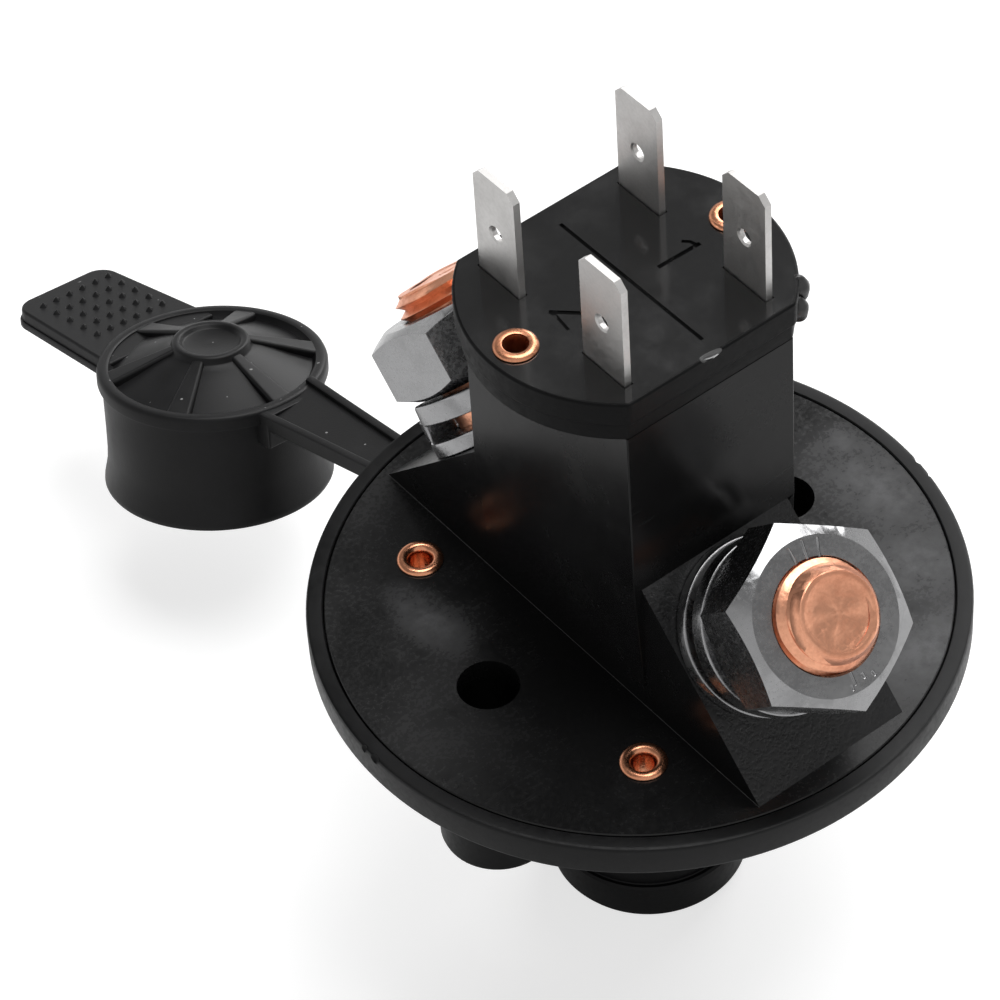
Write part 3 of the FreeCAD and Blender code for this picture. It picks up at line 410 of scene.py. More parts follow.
@dataclass(frozen=True)
class Moulding(Finish):
    """Black moulded plastic, smooth or grained.

    Attributes:
        grain_size: size of the grain in millimetres.
        grain_depth: its relief in millimetres.
        scratch: how far scratches lighten it.
        stain: how far stains lighten it.
        rubs: patches of painted sheen, lighter and rougher where the disc shows bright reflections, each its x,
            y, half length along X, half length along Y and strength.
        sheen_color: lighter colour they paint, a painted reflection.
    """

    grain_size: float = 0.5
    grain_depth: float = 0.0
    scratch: float = 0.35
    stain: float = 0.25
    rubs: tuple[tuple[float, float, float, float, float], ...] = ()
    sheen_color: Point = (0.085, 0.085, 0.088)

    def painted_sheen(self, graph: Graph) -> Socket | None:
        """Mask of the painted sheen patches, broken up by noise.

        Args:
            graph: the material's graph.

        Returns:
            The mask, or None where no sheen is painted.
        """
        coordinates = graph.add("ShaderNodeTexCoord").outputs["Object"]
        total = None
        for x, y, wide, high, strength in self.rubs:
            mapping = graph.add("ShaderNodeMapping", vector_type="TEXTURE")
            graph.join(coordinates, mapping.inputs["Vector"])
            mapping.inputs["Location"].default_value = (x * MM, y * MM, 4.0 * MM)
            mapping.inputs["Scale"].default_value = (wide * MM, high * MM, 2.0 * MM)
            length = graph.add("ShaderNodeVectorMath", operation="LENGTH")
            graph.join(mapping.outputs[0], length.inputs[0])
            mask = graph.math("MULTIPLY", graph.ramp(length.outputs["Value"], 1.0, 0.1), strength)
            total = mask if total is None else graph.math("MAXIMUM", total, mask)
        if total is None:
            return None
        broken = graph.ramp(graph.noise(coordinates, 650.0, 5.0, 0.7), 0.30, 0.62, 0.25, 1.0)
        return graph.math("MULTIPLY", total, broken)

    def detail(self, graph: Graph, shader: Node) -> None:
        """Grain, stains, painted sheen patches and scratches.

        Args:
            graph: the material's graph.
            shader: its Principled BSDF.
        """
        handled, grain = self.wear(graph, self.grain_size)
        lift = graph.math("MULTIPLY", handled.outputs["Scratch"], self.scratch)
        stain = graph.math("MULTIPLY", handled.outputs["Stain"], self.stain)
        marks = graph.math("ADD", lift, stain, True)
        patchy = graph.math("ADD", graph.math("MULTIPLY", handled.outputs["Stain"], 0.08),
                            graph.math("MULTIPLY", grain.outputs["Mask"], 0.10 if self.grain_depth else 0.02))
        painted_sheen = self.painted_sheen(graph)
        tint = self.mix(graph, marks, tuple(min(1.0, c * 2.2 + 0.006) for c in self.color))
        # Painted sheen: the patches lighten the colour where the disc shows bright reflections, and make it
        # rougher.
        if painted_sheen is not None:
            tint = self.mix(graph, painted_sheen, self.sheen_color, tint)
            patchy = graph.math("ADD", patchy, graph.math("MULTIPLY", painted_sheen, 0.25))
        graph.join(tint, shader.inputs["Base Color"])
        graph.join(graph.math("ADD", patchy, self.roughness - 0.05), shader.inputs["Roughness"])
        if self.grain_depth:
            self.bump(graph, shader, grain.outputs["Height"], self.grain_depth * MM)
        else:
            self.bump(graph, shader, handled.outputs["Stain"], 0.004 * MM)


@dataclass(frozen=True)
class Metal(Finish):
    """Bare or plated metal with faint brushing, stains and pits.

    Attributes:
        tarnish: colour of its stains.
        tarnish_amount: how strongly they show.
        pit_depth: relief in millimetres.
        grain_size: size of its texture in millimetres.
        dent_size: size of its dents in millimetres.
        dent_depth: their depth in millimetres.
    """

    metallic: float = 1.0
    tarnish: Point = (0.4, 0.4, 0.4)
    tarnish_amount: float = 0.4
    pit_depth: float = 0.01
    grain_size: float = 0.35
    dent_size: float = 2.5
    dent_depth: float = 0.0

    def detail(self, graph: Graph, shader: Node) -> None:
        """Stains, pits and uneven polish.

        Args:
            graph: the material's graph.
            shader: its Principled BSDF.
        """
        handled, grain = self.wear(graph, self.grain_size)
        mask = graph.math("MULTIPLY", handled.outputs["Stain"], self.tarnish_amount)
        fine = graph.math("MULTIPLY", grain.outputs["Mask"], self.tarnish_amount * 0.35)
        tarnished = self.mix(graph, graph.math("ADD", mask, fine, True), self.tarnish)
        graph.join(tarnished, shader.inputs["Base Color"])
        rough = graph.math("ADD", graph.math("MULTIPLY", handled.outputs["Stain"], 0.12),
                           graph.math("MULTIPLY", grain.outputs["Mask"], 0.08))
        graph.join(graph.math("ADD", rough, self.roughness - 0.06), shader.inputs["Roughness"])
        scratch = graph.math("MULTIPLY", handled.outputs["Scratch"], 0.5)
        height = graph.math("SUBTRACT", grain.outputs["Height"], scratch)
        if self.dent_depth:
            coordinates = graph.add("ShaderNodeTexCoord")
            dents = graph.noise(coordinates.outputs["Object"], 1000.0 / self.dent_size, 2.0, 0.5)
            dents = graph.math("MULTIPLY", dents, self.dent_depth / self.pit_depth)
            height = graph.math("ADD", height, dents)
        self.bump(graph, shader, height, self.pit_depth * MM)


@dataclass(frozen=True)
class Rubber(Finish):
    """Soft black rubber with a dusty bloom.

    Attributes:
        bloom: colour of the bloom.
        dust: colour of the dust specks.
        skin_size: size of its skin's texture in millimetres.
        skin_depth: relief of the skin in millimetres.
    """

    bloom: Point = (0.05, 0.05, 0.052)
    dust: Point = (0.25, 0.25, 0.25)
    skin_size: float = 0.25
    skin_depth: float = 0.012

    def detail(self, graph: Graph, shader: Node) -> None:
        """Bloom, dust specks and a fine skin.

        Args:
            graph: the material's graph.
            shader: its Principled BSDF.
        """
        handled, grain = self.wear(graph, self.skin_size)
        haze = graph.math("MULTIPLY", handled.outputs["Stain"], 0.35)
        colour = self.mix(graph, haze, self.bloom)
        coordinates = graph.add("ShaderNodeTexCoord")
        upward = graph.add("ShaderNodeSeparateXYZ")
        graph.join(coordinates.outputs["Normal"], upward.inputs[0])
        specks = graph.ramp(graph.noise(coordinates.outputs["Object"], 1100.0, 1.0), 0.775, 0.80)
        specks = graph.math("MULTIPLY", specks, graph.ramp(upward.outputs["Z"], 0.7, 0.9))
        graph.join(self.mix(graph, specks, self.dust, colour), shader.inputs["Base Color"])
        patchy = graph.math("MULTIPLY", handled.outputs["Stain"], 0.12)
        rough = graph.math("ADD", patchy, self.roughness - 0.05)
        graph.join(rough, shader.inputs["Roughness"])
        self.bump(graph, shader, grain.outputs["Height"], self.skin_depth * MM)


@dataclass(frozen=True)
class Palette:
    """Every finish on the switch."""

    shell: Finish = Moulding(
        "HousingPhenolic", "phenolic", (0.0045, 0.0045, 0.0048), 0.36, specular=0.14, grain_size=0.6,
        grain_depth=0.008)
    # Its patches are painted sheen where the disc shows bright reflections.
    plate: Finish = Moulding(
        "GrainedPhenolic", "phenolic_rear", (0.0085, 0.0085, 0.0087), 0.22, specular=0.27, grain_size=0.5,
        grain_depth=0.008, rubs=(
            (-19.2, 11.2, 3.6, 7.5, 0.85), (28.5, -5.0, 6.5, 12.0, 0.7), (17.5, -25.5, 10.0, 6.5, 0.8),
            (24.5, -16.5, 7.0, 8.0, 0.7), (30.0, 2.0, 3.0, 4.0, 0.6)))
    block: Finish = Moulding(
        "PolishedPhenolic", "phenolic_rear", (0.0075, 0.0075, 0.0077), 0.26, specular=0.12, scratch=0.25,
        stain=0.15)
    pad: Finish = Moulding(
        "RoughPhenolic", "phenolic_rear", (0.006, 0.006, 0.0063), 0.29, specular=0.42, grain_size=0.42,
        grain_depth=0.11)
    edge: Finish = Moulding(
        "TurnedEdge", "phenolic_rear", (0.005, 0.005, 0.0052), 0.42, specular=0.07, grain_size=0.7,
        grain_depth=0.03)
    # Painted highlight: a lighter grey for the thin light line along the foot of the wedge walls.
    seam: Finish = Moulding("SeamHighlight", "phenolic_rear", (0.06, 0.06, 0.06), 0.5)
    flash: Finish = Moulding(
        "CornerFlash", "lid_plastic", (0.008, 0.008, 0.0082), 0.3, specular=0.6, grain_depth=0.05)
    lid: Finish = Moulding("LidPlastic", "lid_plastic", (0.0025, 0.0025, 0.0027), 0.15, specular=1.0)
    # Lighter chip faces: partly the broken plastic, partly a painted glint.
    chip_and_glint: Finish = Moulding(
        "ChipFaceGlint", "lid_plastic", (0.05, 0.05, 0.05), 0.22, specular=1.0, grain_size=0.3,
        grain_depth=0.03)
    zinc: Finish = Metal(
        "ZincPlate", "plated_steel", (0.33, 0.33, 0.335), 0.27, tarnish=(0.24, 0.24, 0.24), pit_depth=0.004,
        dent_depth=0.06)
    blade: Finish = Metal(
        "TinnedBlade", "tinned_brass", (0.61, 0.60, 0.59), 0.47, tarnish=(0.44, 0.43, 0.42), pit_depth=0.003,
        dent_size=5.0, dent_depth=0.02)
    copper: Finish = Metal(
        "CopperStud", "copper", (0.93, 0.45, 0.28), 0.36, tarnish=(0.50, 0.18, 0.10), tarnish_amount=0.7,
        pit_depth=0.02, dent_size=1.6, dent_depth=0.10)
    eyelet: Finish = Metal("CopperEyelet", "copper", (0.74, 0.33, 0.19), 0.26, tarnish=(0.42, 0.16, 0.08))
    rubber: Finish = Rubber(
        "CapRubber", "rubber", (0.0065, 0.0065, 0.0068), 0.42, specular=0.17, bloom=(0.016, 0.016, 0.017))
    inner: Finish = Moulding("InnerPlastic", "rotor_plastic", (0.05, 0.05, 0.05), 0.45)
    spring: Finish = Metal("SpringWire", "spring_steel", (0.5, 0.5, 0.5), 0.3)
    seal: Finish = Rubber("SealRubber", "rubber", (0.012, 0.012, 0.012), 0.4)


PALETTE = Palette()


# Modelling steps


class Bench:
    """Modelling steps that the classes share, each a plain use of Blender's operators."""

    @staticmethod
    def release() -> None:
        """Leave edit mode and deselect everything."""
        if bpy.context.object and bpy.context.object.mode != "OBJECT":
            bpy.ops.object.mode_set(mode="OBJECT")
        for item in bpy.context.selected_objects:
            item.select_set(False)

    @staticmethod
    def focus(piece: Piece) -> None:
        """Make a piece the only selected and the active one."""
        Bench.release()
        piece.select_set(True)
        bpy.context.view_layer.objects.active = piece

    @staticmethod
    def named(name: str) -> Piece:
        """Name the primitive that was just added.

        Args:
            name: name of the object and its mesh.

        Returns:
            The new object.
        """
        piece = bpy.context.active_object
        piece.name = name
        piece.data.name = name
        return piece

    @staticmethod
    def edit(piece: Piece) -> None:
        """Open a piece in edit mode with nothing else selected."""
        Bench.focus(piece)
        bpy.ops.object.mode_set(mode="EDIT")

    @staticmethod
    def pick(piece: Piece, kind: Part, test: Callable[[object], bool]) -> None:
        """Select the items of an edited piece that pass a test.

        Args:
            piece: piece in edit mode.
            kind: vertices, edges or faces.
            test: called with each item.
        """
        bpy.ops.mesh.select_mode(type=kind.value)
        bpy.ops.mesh.select_all(action="DESELECT")
        mesh = bmesh.from_edit_mesh(piece.data)
        items = {Part.VERT: mesh.verts, Part.EDGE: mesh.edges, Part.FACE: mesh.faces}[kind]
        for item in filter(test, items):
            item.select_set(True)
        mesh.select_flush_mode()
        bmesh.update_edit_mesh(piece.data)

    @staticmethod
    def tidy(piece: Piece) -> None:
        """Merge doubled points and turn all faces outwards."""
        Bench.edit(piece)
        bpy.ops.mesh.select_all(action="SELECT")
        bpy.ops.mesh.remove_doubles(threshold=0.0005)
        bpy.ops.mesh.normals_make_consistent(inside=False)
        Bench.release()

    @staticmethod
    def turned(name: str, rings: list[Pair], segments: int = 96, closed: bool = False) -> Piece:
        """Turn a profile about Z: a circle is extruded and resized from ring to ring.

        Args:
            name: name of the piece.
            rings: radius and height of each ring, in order round the section.
            segments: number of points round the circle.
            closed: join the last ring to the first, as for a ring-shaped piece. Otherwise both
                ends are filled.

        Returns:
            The turned piece.
        """
        Bench.release()
        radius, height = rings[0]
        bpy.ops.mesh.primitive_circle_add(vertices=segments, radius=radius, location=(0, 0, height))
        piece = Bench.named(name)
        bpy.ops.object.transform_apply(location=True)
        Bench.edit(piece)
        bpy.ops.mesh.select_all(action="SELECT")
        if not closed:
            bpy.ops.mesh.edge_face_add()
            Bench.pick(piece, Part.EDGE, lambda edge: True)
        for new_radius, new_height in rings[1:]:
            bpy.ops.mesh.extrude_edges_move(TRANSFORM_OT_translate={"value": (0, 0, new_height - height)})
            scale = new_radius / radius
            bpy.ops.transform.resize(value=(scale, scale, 1), center_override=(0, 0, new_height))
            radius, height = new_radius, new_height
        if closed:
            Bench.pick(piece, Part.EDGE, lambda edge: len(edge.link_faces) < 2)
            bpy.ops.mesh.bridge_edge_loops()
        else:
            bpy.ops.mesh.edge_face_add()
        Bench.release()
        Bench.tidy(piece)
        return piece

    @staticmethod
    def box(name: str, low: Point, high: Point) -> Piece:
        """Add a box between two corners.

        Args:
            name: name of the piece.
            low: lowest corner.
            high: highest corner.

        Returns:
            The box.
        """
        Bench.release()
        middle = [(a + b) / 2 for a, b in zip(low, high)]
        bpy.ops.mesh.primitive_cube_add(size=1, location=middle, scale=[b - a for a, b in zip(low, high)])
        piece = Bench.named(name)
        bpy.ops.object.transform_apply(location=True, rotation=True, scale=True)
        return piece

    @staticmethod
    def rod(
        name: str, centre: Point, radius: float, length: float, segments: int = 48, turn: Point = (0, 0, 0)
    ) -> Piece:
        """Add a cylinder.

        Args:
            name: name of the piece.
            centre: its middle.
            radius: its radius.
            length: its length.
            segments: points round it.
            turn: rotation, in radians.

        Returns:
            The cylinder.
        """
        Bench.release()
        bpy.ops.mesh.primitive_cylinder_add(
            vertices=segments, radius=radius, depth=length, location=centre, rotation=turn)
        piece = Bench.named(name)
        bpy.ops.object.transform_apply(location=True, rotation=True, scale=True)
        return piece

    @staticmethod
    def apply(piece: Piece, modifier: bpy.types.Modifier) -> None:
        """Apply a modifier."""
        Bench.focus(piece)
        bpy.ops.object.modifier_apply(modifier=modifier.name)

    @staticmethod
    def boolean(piece: Piece, other: Piece, operation: str = "DIFFERENCE") -> Piece:
        """Cut, join or intersect a piece with another, which is then removed.

        Args:
            piece: piece to change.
            other: the cutter or addition.
            operation: DIFFERENCE, UNION or INTERSECT.

        Returns:
            The changed piece.
        """
        modifier = piece.modifiers.new("boolean", "BOOLEAN")
        modifier.object = other
        modifier.operation = operation
        modifier.solver = "EXACT"
        Bench.apply(piece, modifier)
        Bench.drop(other)
        return piece

    @staticmethod
    def drop(piece: Piece) -> None:
        """Remove a piece that isn't needed any more."""
        bpy.data.objects.remove(piece, do_unlink=True)

    @staticmethod
    def trim(piece: Piece, half: float) -> None:
        """Cut a piece flat on both sides.

        Args:
            piece: piece to cut.
            half: distance of each cut from the XZ plane.
        """
        Bench.edit(piece)
        for side in BOTH:
            bpy.ops.mesh.select_all(action="SELECT")
            bpy.ops.mesh.bisect(plane_co=(0, side * half, 0), plane_no=(0, side, 0), clear_outer=True,
                                use_fill=True)
        Bench.release()

    @staticmethod
    def screw(piece: Piece, steps: int, turns: int, rise: float, merge: bool = False) -> None:
        """Wind a profile round Z.

        Args:
            piece: the profile.
            steps: points in a turn.
            turns: how many turns.
            rise: how far a turn climbs.
            merge: merge the points that meet.
        """
        modifier = piece.modifiers.new("screw", "SCREW")
        modifier.steps = modifier.render_steps = steps
        modifier.iterations = turns
        modifier.screw_offset = rise
        modifier.axis = "Z"
        modifier.use_merge_vertices = merge
        Bench.apply(piece, modifier)

    @staticmethod
    def join(pieces: list[Piece]) -> Piece:
        """Join pieces into the first.

        Args:
            pieces: pieces to join.

        Returns:
            The joined piece.
        """
        Bench.release()
        for item in pieces:
            item.select_set(True)
        bpy.context.view_layer.objects.active = pieces[0]
        bpy.ops.object.join()
        return pieces[0]

    @staticmethod
    def copy(piece: Piece, name: str, matrix: Matrix) -> Piece:
        """Copy a piece with its own mesh, moved.

        Args:
            piece: piece to copy.
            name: name of the copy.
            matrix: where it goes.

        Returns:
            The copy.
        """
        twin = piece.copy()
        twin.data = piece.data.copy()
        twin.name = name
        twin.data.name = name
        bpy.context.collection.objects.link(twin)
        twin.data.transform(matrix)
        return twin

    @staticmethod
    def soften(piece: Piece, width: float, segments: int = 2, angle: float = 32.0) -> None:
        """Round the edges sharper than an angle.

        Args:
            piece: piece to round.
            width: width of the rounding.
            segments: faces across it.
            angle: least angle of an edge, in degrees.
        """
        modifier = piece.modifiers.new("soften", "BEVEL")
        modifier.width = width
        modifier.segments = segments
        modifier.limit_method = "ANGLE"
        modifier.angle_limit = math.radians(angle)
        modifier.harden_normals = False
        modifier.use_clamp_overlap = True
        Bench.apply(piece, modifier)

    @staticmethod
    def finish(piece: Piece, matrix: Matrix, finishes: list[Finish], angle: float = 35.0) -> None:
        """Dress a piece and bring it from millimetres to its place in metres.

        Args:
            piece: the finished mesh.
            matrix: its place, in millimetres.
            finishes: finishes of its material slots.
            angle: smoothing angle in degrees.
        """
        piece.data.transform(Matrix.Scale(MM, 4) @ matrix)
        piece.matrix_world = HERE
        Bench.focus(piece)
        bpy.ops.object.shade_smooth_by_angle(angle=math.radians(angle))
        modifier = piece.modifiers.new("flats", "WEIGHTED_NORMAL")
        modifier.keep_sharp = True
        modifier.weight = 90
        Bench.apply(piece, modifier)
        piece.data.materials.clear()
        for finish in finishes:
            piece.data.materials.append(finish.material())
        marks = piece.data.attributes.get("finish")
        if marks:
            for polygon in piece.data.polygons:
                polygon.material_index = min(marks.data[polygon.index].value, len(finishes) - 1)
            piece.data.attributes.remove(marks)
        Bench.release()

    @staticmethod
    def paint(piece: Piece, index: int, test: Callable[[bpy.types.MeshPolygon], bool]) -> None:
        """Mark the faces that pass a test for another material slot; a join keeps the marks.

        Args:
            piece: piece to change.
            index: slot number.
            test: called with each face.
        """
        marks = piece.data.attributes.get("finish") or piece.data.attributes.new("finish", "INT", "FACE")
        for polygon in piece.data.polygons:
            if test(polygon):
                marks.data[polygon.index].value = index


# Sub-assemblies


@dataclass
class Flange:
    """Front flange with its lip, collar and spacer bosses.

    Attributes hold the sizes of the CAD node front_flange, in millimetres. Each nick has its angle
    in degrees, its width and its depth.
    """

    radius: float = 35.0
    seat_radius: float = 33.2
    deck: float = 4.0
    plate: float = 2.6
    collar_end: float = -37.6
    collar_radius: float = 10.2
    lip_radius: float = 10.9
    lip_height: float = 5.0
    bore: float = 8.3
    mouth: float = 7.2
    mouth_depth: float = 2.0
    boss_x: float = MOUNT_X
    boss_radius: float = 6.3
    boss_end: float = -18.8
    hole: float = MOUNT_HOLE
    nicks: tuple[Point, ...] = ((180, 1.4, 0.65), (177, 0.9, 0.6), (-8.5, 1.5, 0.65), (-12.5, 1.0, 0.6))

    def shell(self) -> Piece:
        """Turn the flange and collar as one closed section.

        Returns:
            The turned shell.
        """
        end, lip = self.collar_end, self.collar_end + self.lip_height
        rings = [
            (self.mouth, end + 0.3), (self.mouth + 0.3, end), (self.lip_radius - 0.9, end),
            (self.lip_radius - 0.35, end + 0.15), (self.lip_radius, end + 0.7),
            (self.lip_radius, lip - 0.25), (self.lip_radius - 0.25, lip), (self.collar_radius + 0.1, lip),
            (self.collar_radius, lip + 0.1), (self.collar_radius, -0.5), (self.collar_radius + 0.5, 0.0),
            (self.radius - 0.6, 0.0), (self.radius - 0.18, 0.18), (self.radius, 0.6),
            (self.radius, self.deck - 0.45), (self.radius - 0.13, self.deck - 0.13),
            (self.radius - 0.45, self.deck), (self.seat_radius + 0.12, self.deck),
            (self.seat_radius, self.deck - 0.12), (self.seat_radius, self.deck - self.plate),
            (self.bore, self.deck - self.plate), (self.bore, end + self.mouth_depth),
            (self.mouth, end + self.mouth_depth),
        ]
        return Bench.turned("Flange", rings, 192, closed=True)

    def boss(self, side: int) -> Piece:
        """Turn one spacer boss.

        Args:
            side: -1 or +1 along X.

        Returns:
            The boss, with its hole.
        """
        r, end = self.boss_radius, self.boss_end
        rings = [
            (self.hole, end + 0.2), (self.hole + 0.2, end), (r - 0.5, end), (r - 0.12, end + 0.12),
            (r, end + 0.5), (r, 0.2), (self.hole, 0.2),
        ]
        boss = Bench.turned("Boss", rings, 64, closed=True)
        boss.data.transform(Matrix.Translation((side * self.boss_x, 0, 0)))
        return boss

    def nick(self, piece: Piece, angle: float, width: float, depth: float) -> None:
        """Chip the rim a little, as the moulding's gate marks do.

        Args:
            piece: the flange.
            angle: where, in degrees from X.
            width: along the rim.
            depth: into the rim.
        """
        turn = math.radians(angle)
        reach = self.radius + 0.5 - depth / 2
        Bench.release()
        bpy.ops.mesh.primitive_ico_sphere_add(subdivisions=2, radius=1, location=(0, 0, 0))
        tool = Bench.named("NickTool")
        spot = (reach * math.cos(turn), reach * math.sin(turn), self.deck - 0.2)
        tool.data.transform(Matrix.Translation(spot) @ Matrix.Rotation(turn, 4, "Z")
                            @ Matrix.Diagonal((depth, width / 2, 0.7, 1)))
        Bench.boolean(piece, tool)

    def build(self) -> None:
        """Model and dress the flange."""
        piece = self.shell()
        for side in BOTH:
            Bench.boolean(piece, Bench.rod("Drill", (side * self.boss_x, 0, 1), self.hole, 6))
            for across in BOTH:
                spot = (side * RIVET_X, across * RIVET_Y, 1)
                Bench.boolean(piece, Bench.rod("Drill", spot, RIVET_HOLE, 6, 24))
        for angle, width, depth in self.nicks:
            self.nick(piece, angle, width, depth)
        piece = Bench.join([piece, self.boss(-1), self.boss(1)])
        Bench.finish(piece, HERE, [PALETTE.shell])
        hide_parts("front_flange")
        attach(piece, "switch")


@dataclass
class RearBody:
    """Grained base plate, wedges and terminal block of the rear body."""

    plate_radius: float = 33.05
    plate_bottom: float = 1.4
    deck: float = 4.0
    reach: float = 30.6
    half_width: float = 9.6
    half_length: float = 12.9
    top_half_width: float = 10.6
    wedge_top: float = 21.7
    ear_bottom: float = 43.9
    ear_top: float = 46.1
    ear_radius: float = 16.6
    stud_hole: float = 5.95
    wall: float = 1.8
    foot: float = 0.4
    room_half: float = 11.5
    room_top: float = 25.9
    pad_left: float = -8.6

    def plate(self) -> Piece:
        """Turn the base plate with a slightly broken edge.

        Returns:
            The plate.
        """
        rings = [
            (self.plate_radius, self.plate_bottom), (self.plate_radius, self.deck - 0.12),
            (self.plate_radius - 0.12, self.deck), (24.0, self.deck), (7.6, self.deck),
            (7.6, self.plate_bottom),
        ]
        return Bench.turned("Plate", rings, 192, closed=True)

    def wedges(self) -> Piece:
        """Shape both wedges from one box: its top is narrowed along Y to make the 45 degree pads.

        Returns:
            The wedges.
        """
        piece = Bench.box("Wedges", (-self.half_width, -self.reach, self.deck - self.foot),
                          (self.half_width, self.reach, self.wedge_top))
        Bench.edit(piece)
        Bench.pick(piece, Part.VERT, lambda vert: vert.co.z > self.wedge_top - 0.1)
        bpy.ops.transform.resize(value=(1, self.half_length / self.reach, 1))
        Bench.release()
        Bench.edit(piece)
        Bench.pick(piece, Part.VERT, lambda vert: vert.co.z < self.deck)
        bpy.ops.transform.resize(value=(1, (self.reach + self.foot) / self.reach, 1))
        Bench.release()
        return piece

    def block(self) -> Piece:
        """Shape the block: a box, cut level with the wedges, its foot narrowed to their width.

        Returns:
            The block.
        """
        piece = Bench.box("Block", (-self.top_half_width, -self.half_length, self.deck - self.foot),
                          (self.top_half_width, self.half_length - 0.01, self.ear_bottom + 0.02))
        Bench.edit(piece)
        bpy.ops.mesh.select_all(action="SELECT")
        bpy.ops.mesh.bisect(plane_co=(0, 0, self.wedge_top), plane_no=(0, 0, 1))
        Bench.pick(piece, Part.VERT, lambda vert: vert.co.z < self.deck)
        bpy.ops.transform.resize(value=(self.half_width / self.top_half_width, 1, 1))
        Bench.pick(piece, Part.EDGE, lambda edge: abs(edge.verts[0].co.z - edge.verts[1].co.z) > 3)
        bpy.ops.mesh.bevel(offset=0.18, segments=3, profile=0.5)
        Bench.release()
        return piece

    def ears(self) -> Piece:
        """Cut the round ear flange flat on both sides.

        Returns:
            The ears.
        """
        piece = Bench.rod("Ears", (0, 0, (self.ear_bottom + self.ear_top) / 2), self.ear_radius,
                          self.ear_top - self.ear_bottom, 96)
        Bench.trim(piece, self.half_length)
        Bench.soften(piece, 0.2, 2)
        return piece

    def flash(self) -> Piece:
        """Lay the fine moulding flash along the foot of both wedge walls.

        Returns:
            The two ridges.
        """
        ridges = []
        for side in BOTH:
            x = side * (self.half_width + 0.03)
            ridge = Bench.box("Flash", (x - 0.04, -self.reach, self.deck - 0.05),
                              (x + 0.04, self.reach, self.deck + 0.04))
            Bench.soften(ridge, 0.025, 2)
            ridges.append(ridge)
        return Bench.join(ridges)

    def build(self) -> None:
        """Model and dress the rear body."""
        finishes = [PALETTE.plate, PALETTE.block, PALETTE.pad, PALETTE.seam, PALETTE.edge]
        block, pad, seam, edge = range(1, len(finishes))
        half_room = self.top_half_width - self.wall
        tower = Bench.boolean(self.wedges(), self.block(), "UNION")
        Bench.boolean(tower, Bench.box("Room", (-half_room, -self.room_half, 0),
                                       (half_room, self.room_half, self.room_top)))
        for side in Side:
            angle = -side.value * math.pi / 4
            away = Vector((0, side.value * math.sin(math.pi / 4), math.cos(math.pi / 4)))
            centre = Vector((0, side.value * STUD_Y, STUD_Z)) - away
            Bench.boolean(tower, Bench.rod("Drill", tuple(centre), self.stud_hole, 8, 64, (angle, 0, 0)))
        Bench.soften(tower, 0.12, 2, 40)
        Bench.paint(tower, block, lambda face: True)
        Bench.paint(tower, pad, lambda face: 0.6 < face.normal.z < 0.8 and abs(face.normal.y) > 0.6
                    and face.center.x > self.pad_left)
        plate = self.plate()
        holes = [(s * MOUNT_X, 0.0, MOUNT_HOLE) for s in BOTH]
        holes += [(s * RIVET_X, t * RIVET_Y, RIVET_HOLE) for s in BOTH for t in BOTH]
        for x, y, radius in holes:
            Bench.boolean(plate, Bench.rod("Drill", (x, y, 3), radius, 5, 48))
        piece = Bench.join([plate, tower, self.ears()])
        Bench.paint(piece, block, lambda face: face.center.z > self.ear_bottom - 0.05)
        Bench.paint(piece, edge, lambda face: face.center.z > self.ear_bottom + 0.02)
        flash = self.flash()
        # Painted highlight: the flash ridges are coloured lighter grey as the thin light line along the wall
        # foot.
        Bench.paint(flash, seam, lambda face: True)
        piece = Bench.join([piece, flash])
        Bench.finish(piece, HERE, finishes)
        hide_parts("rear_body")
        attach(piece, "switch")


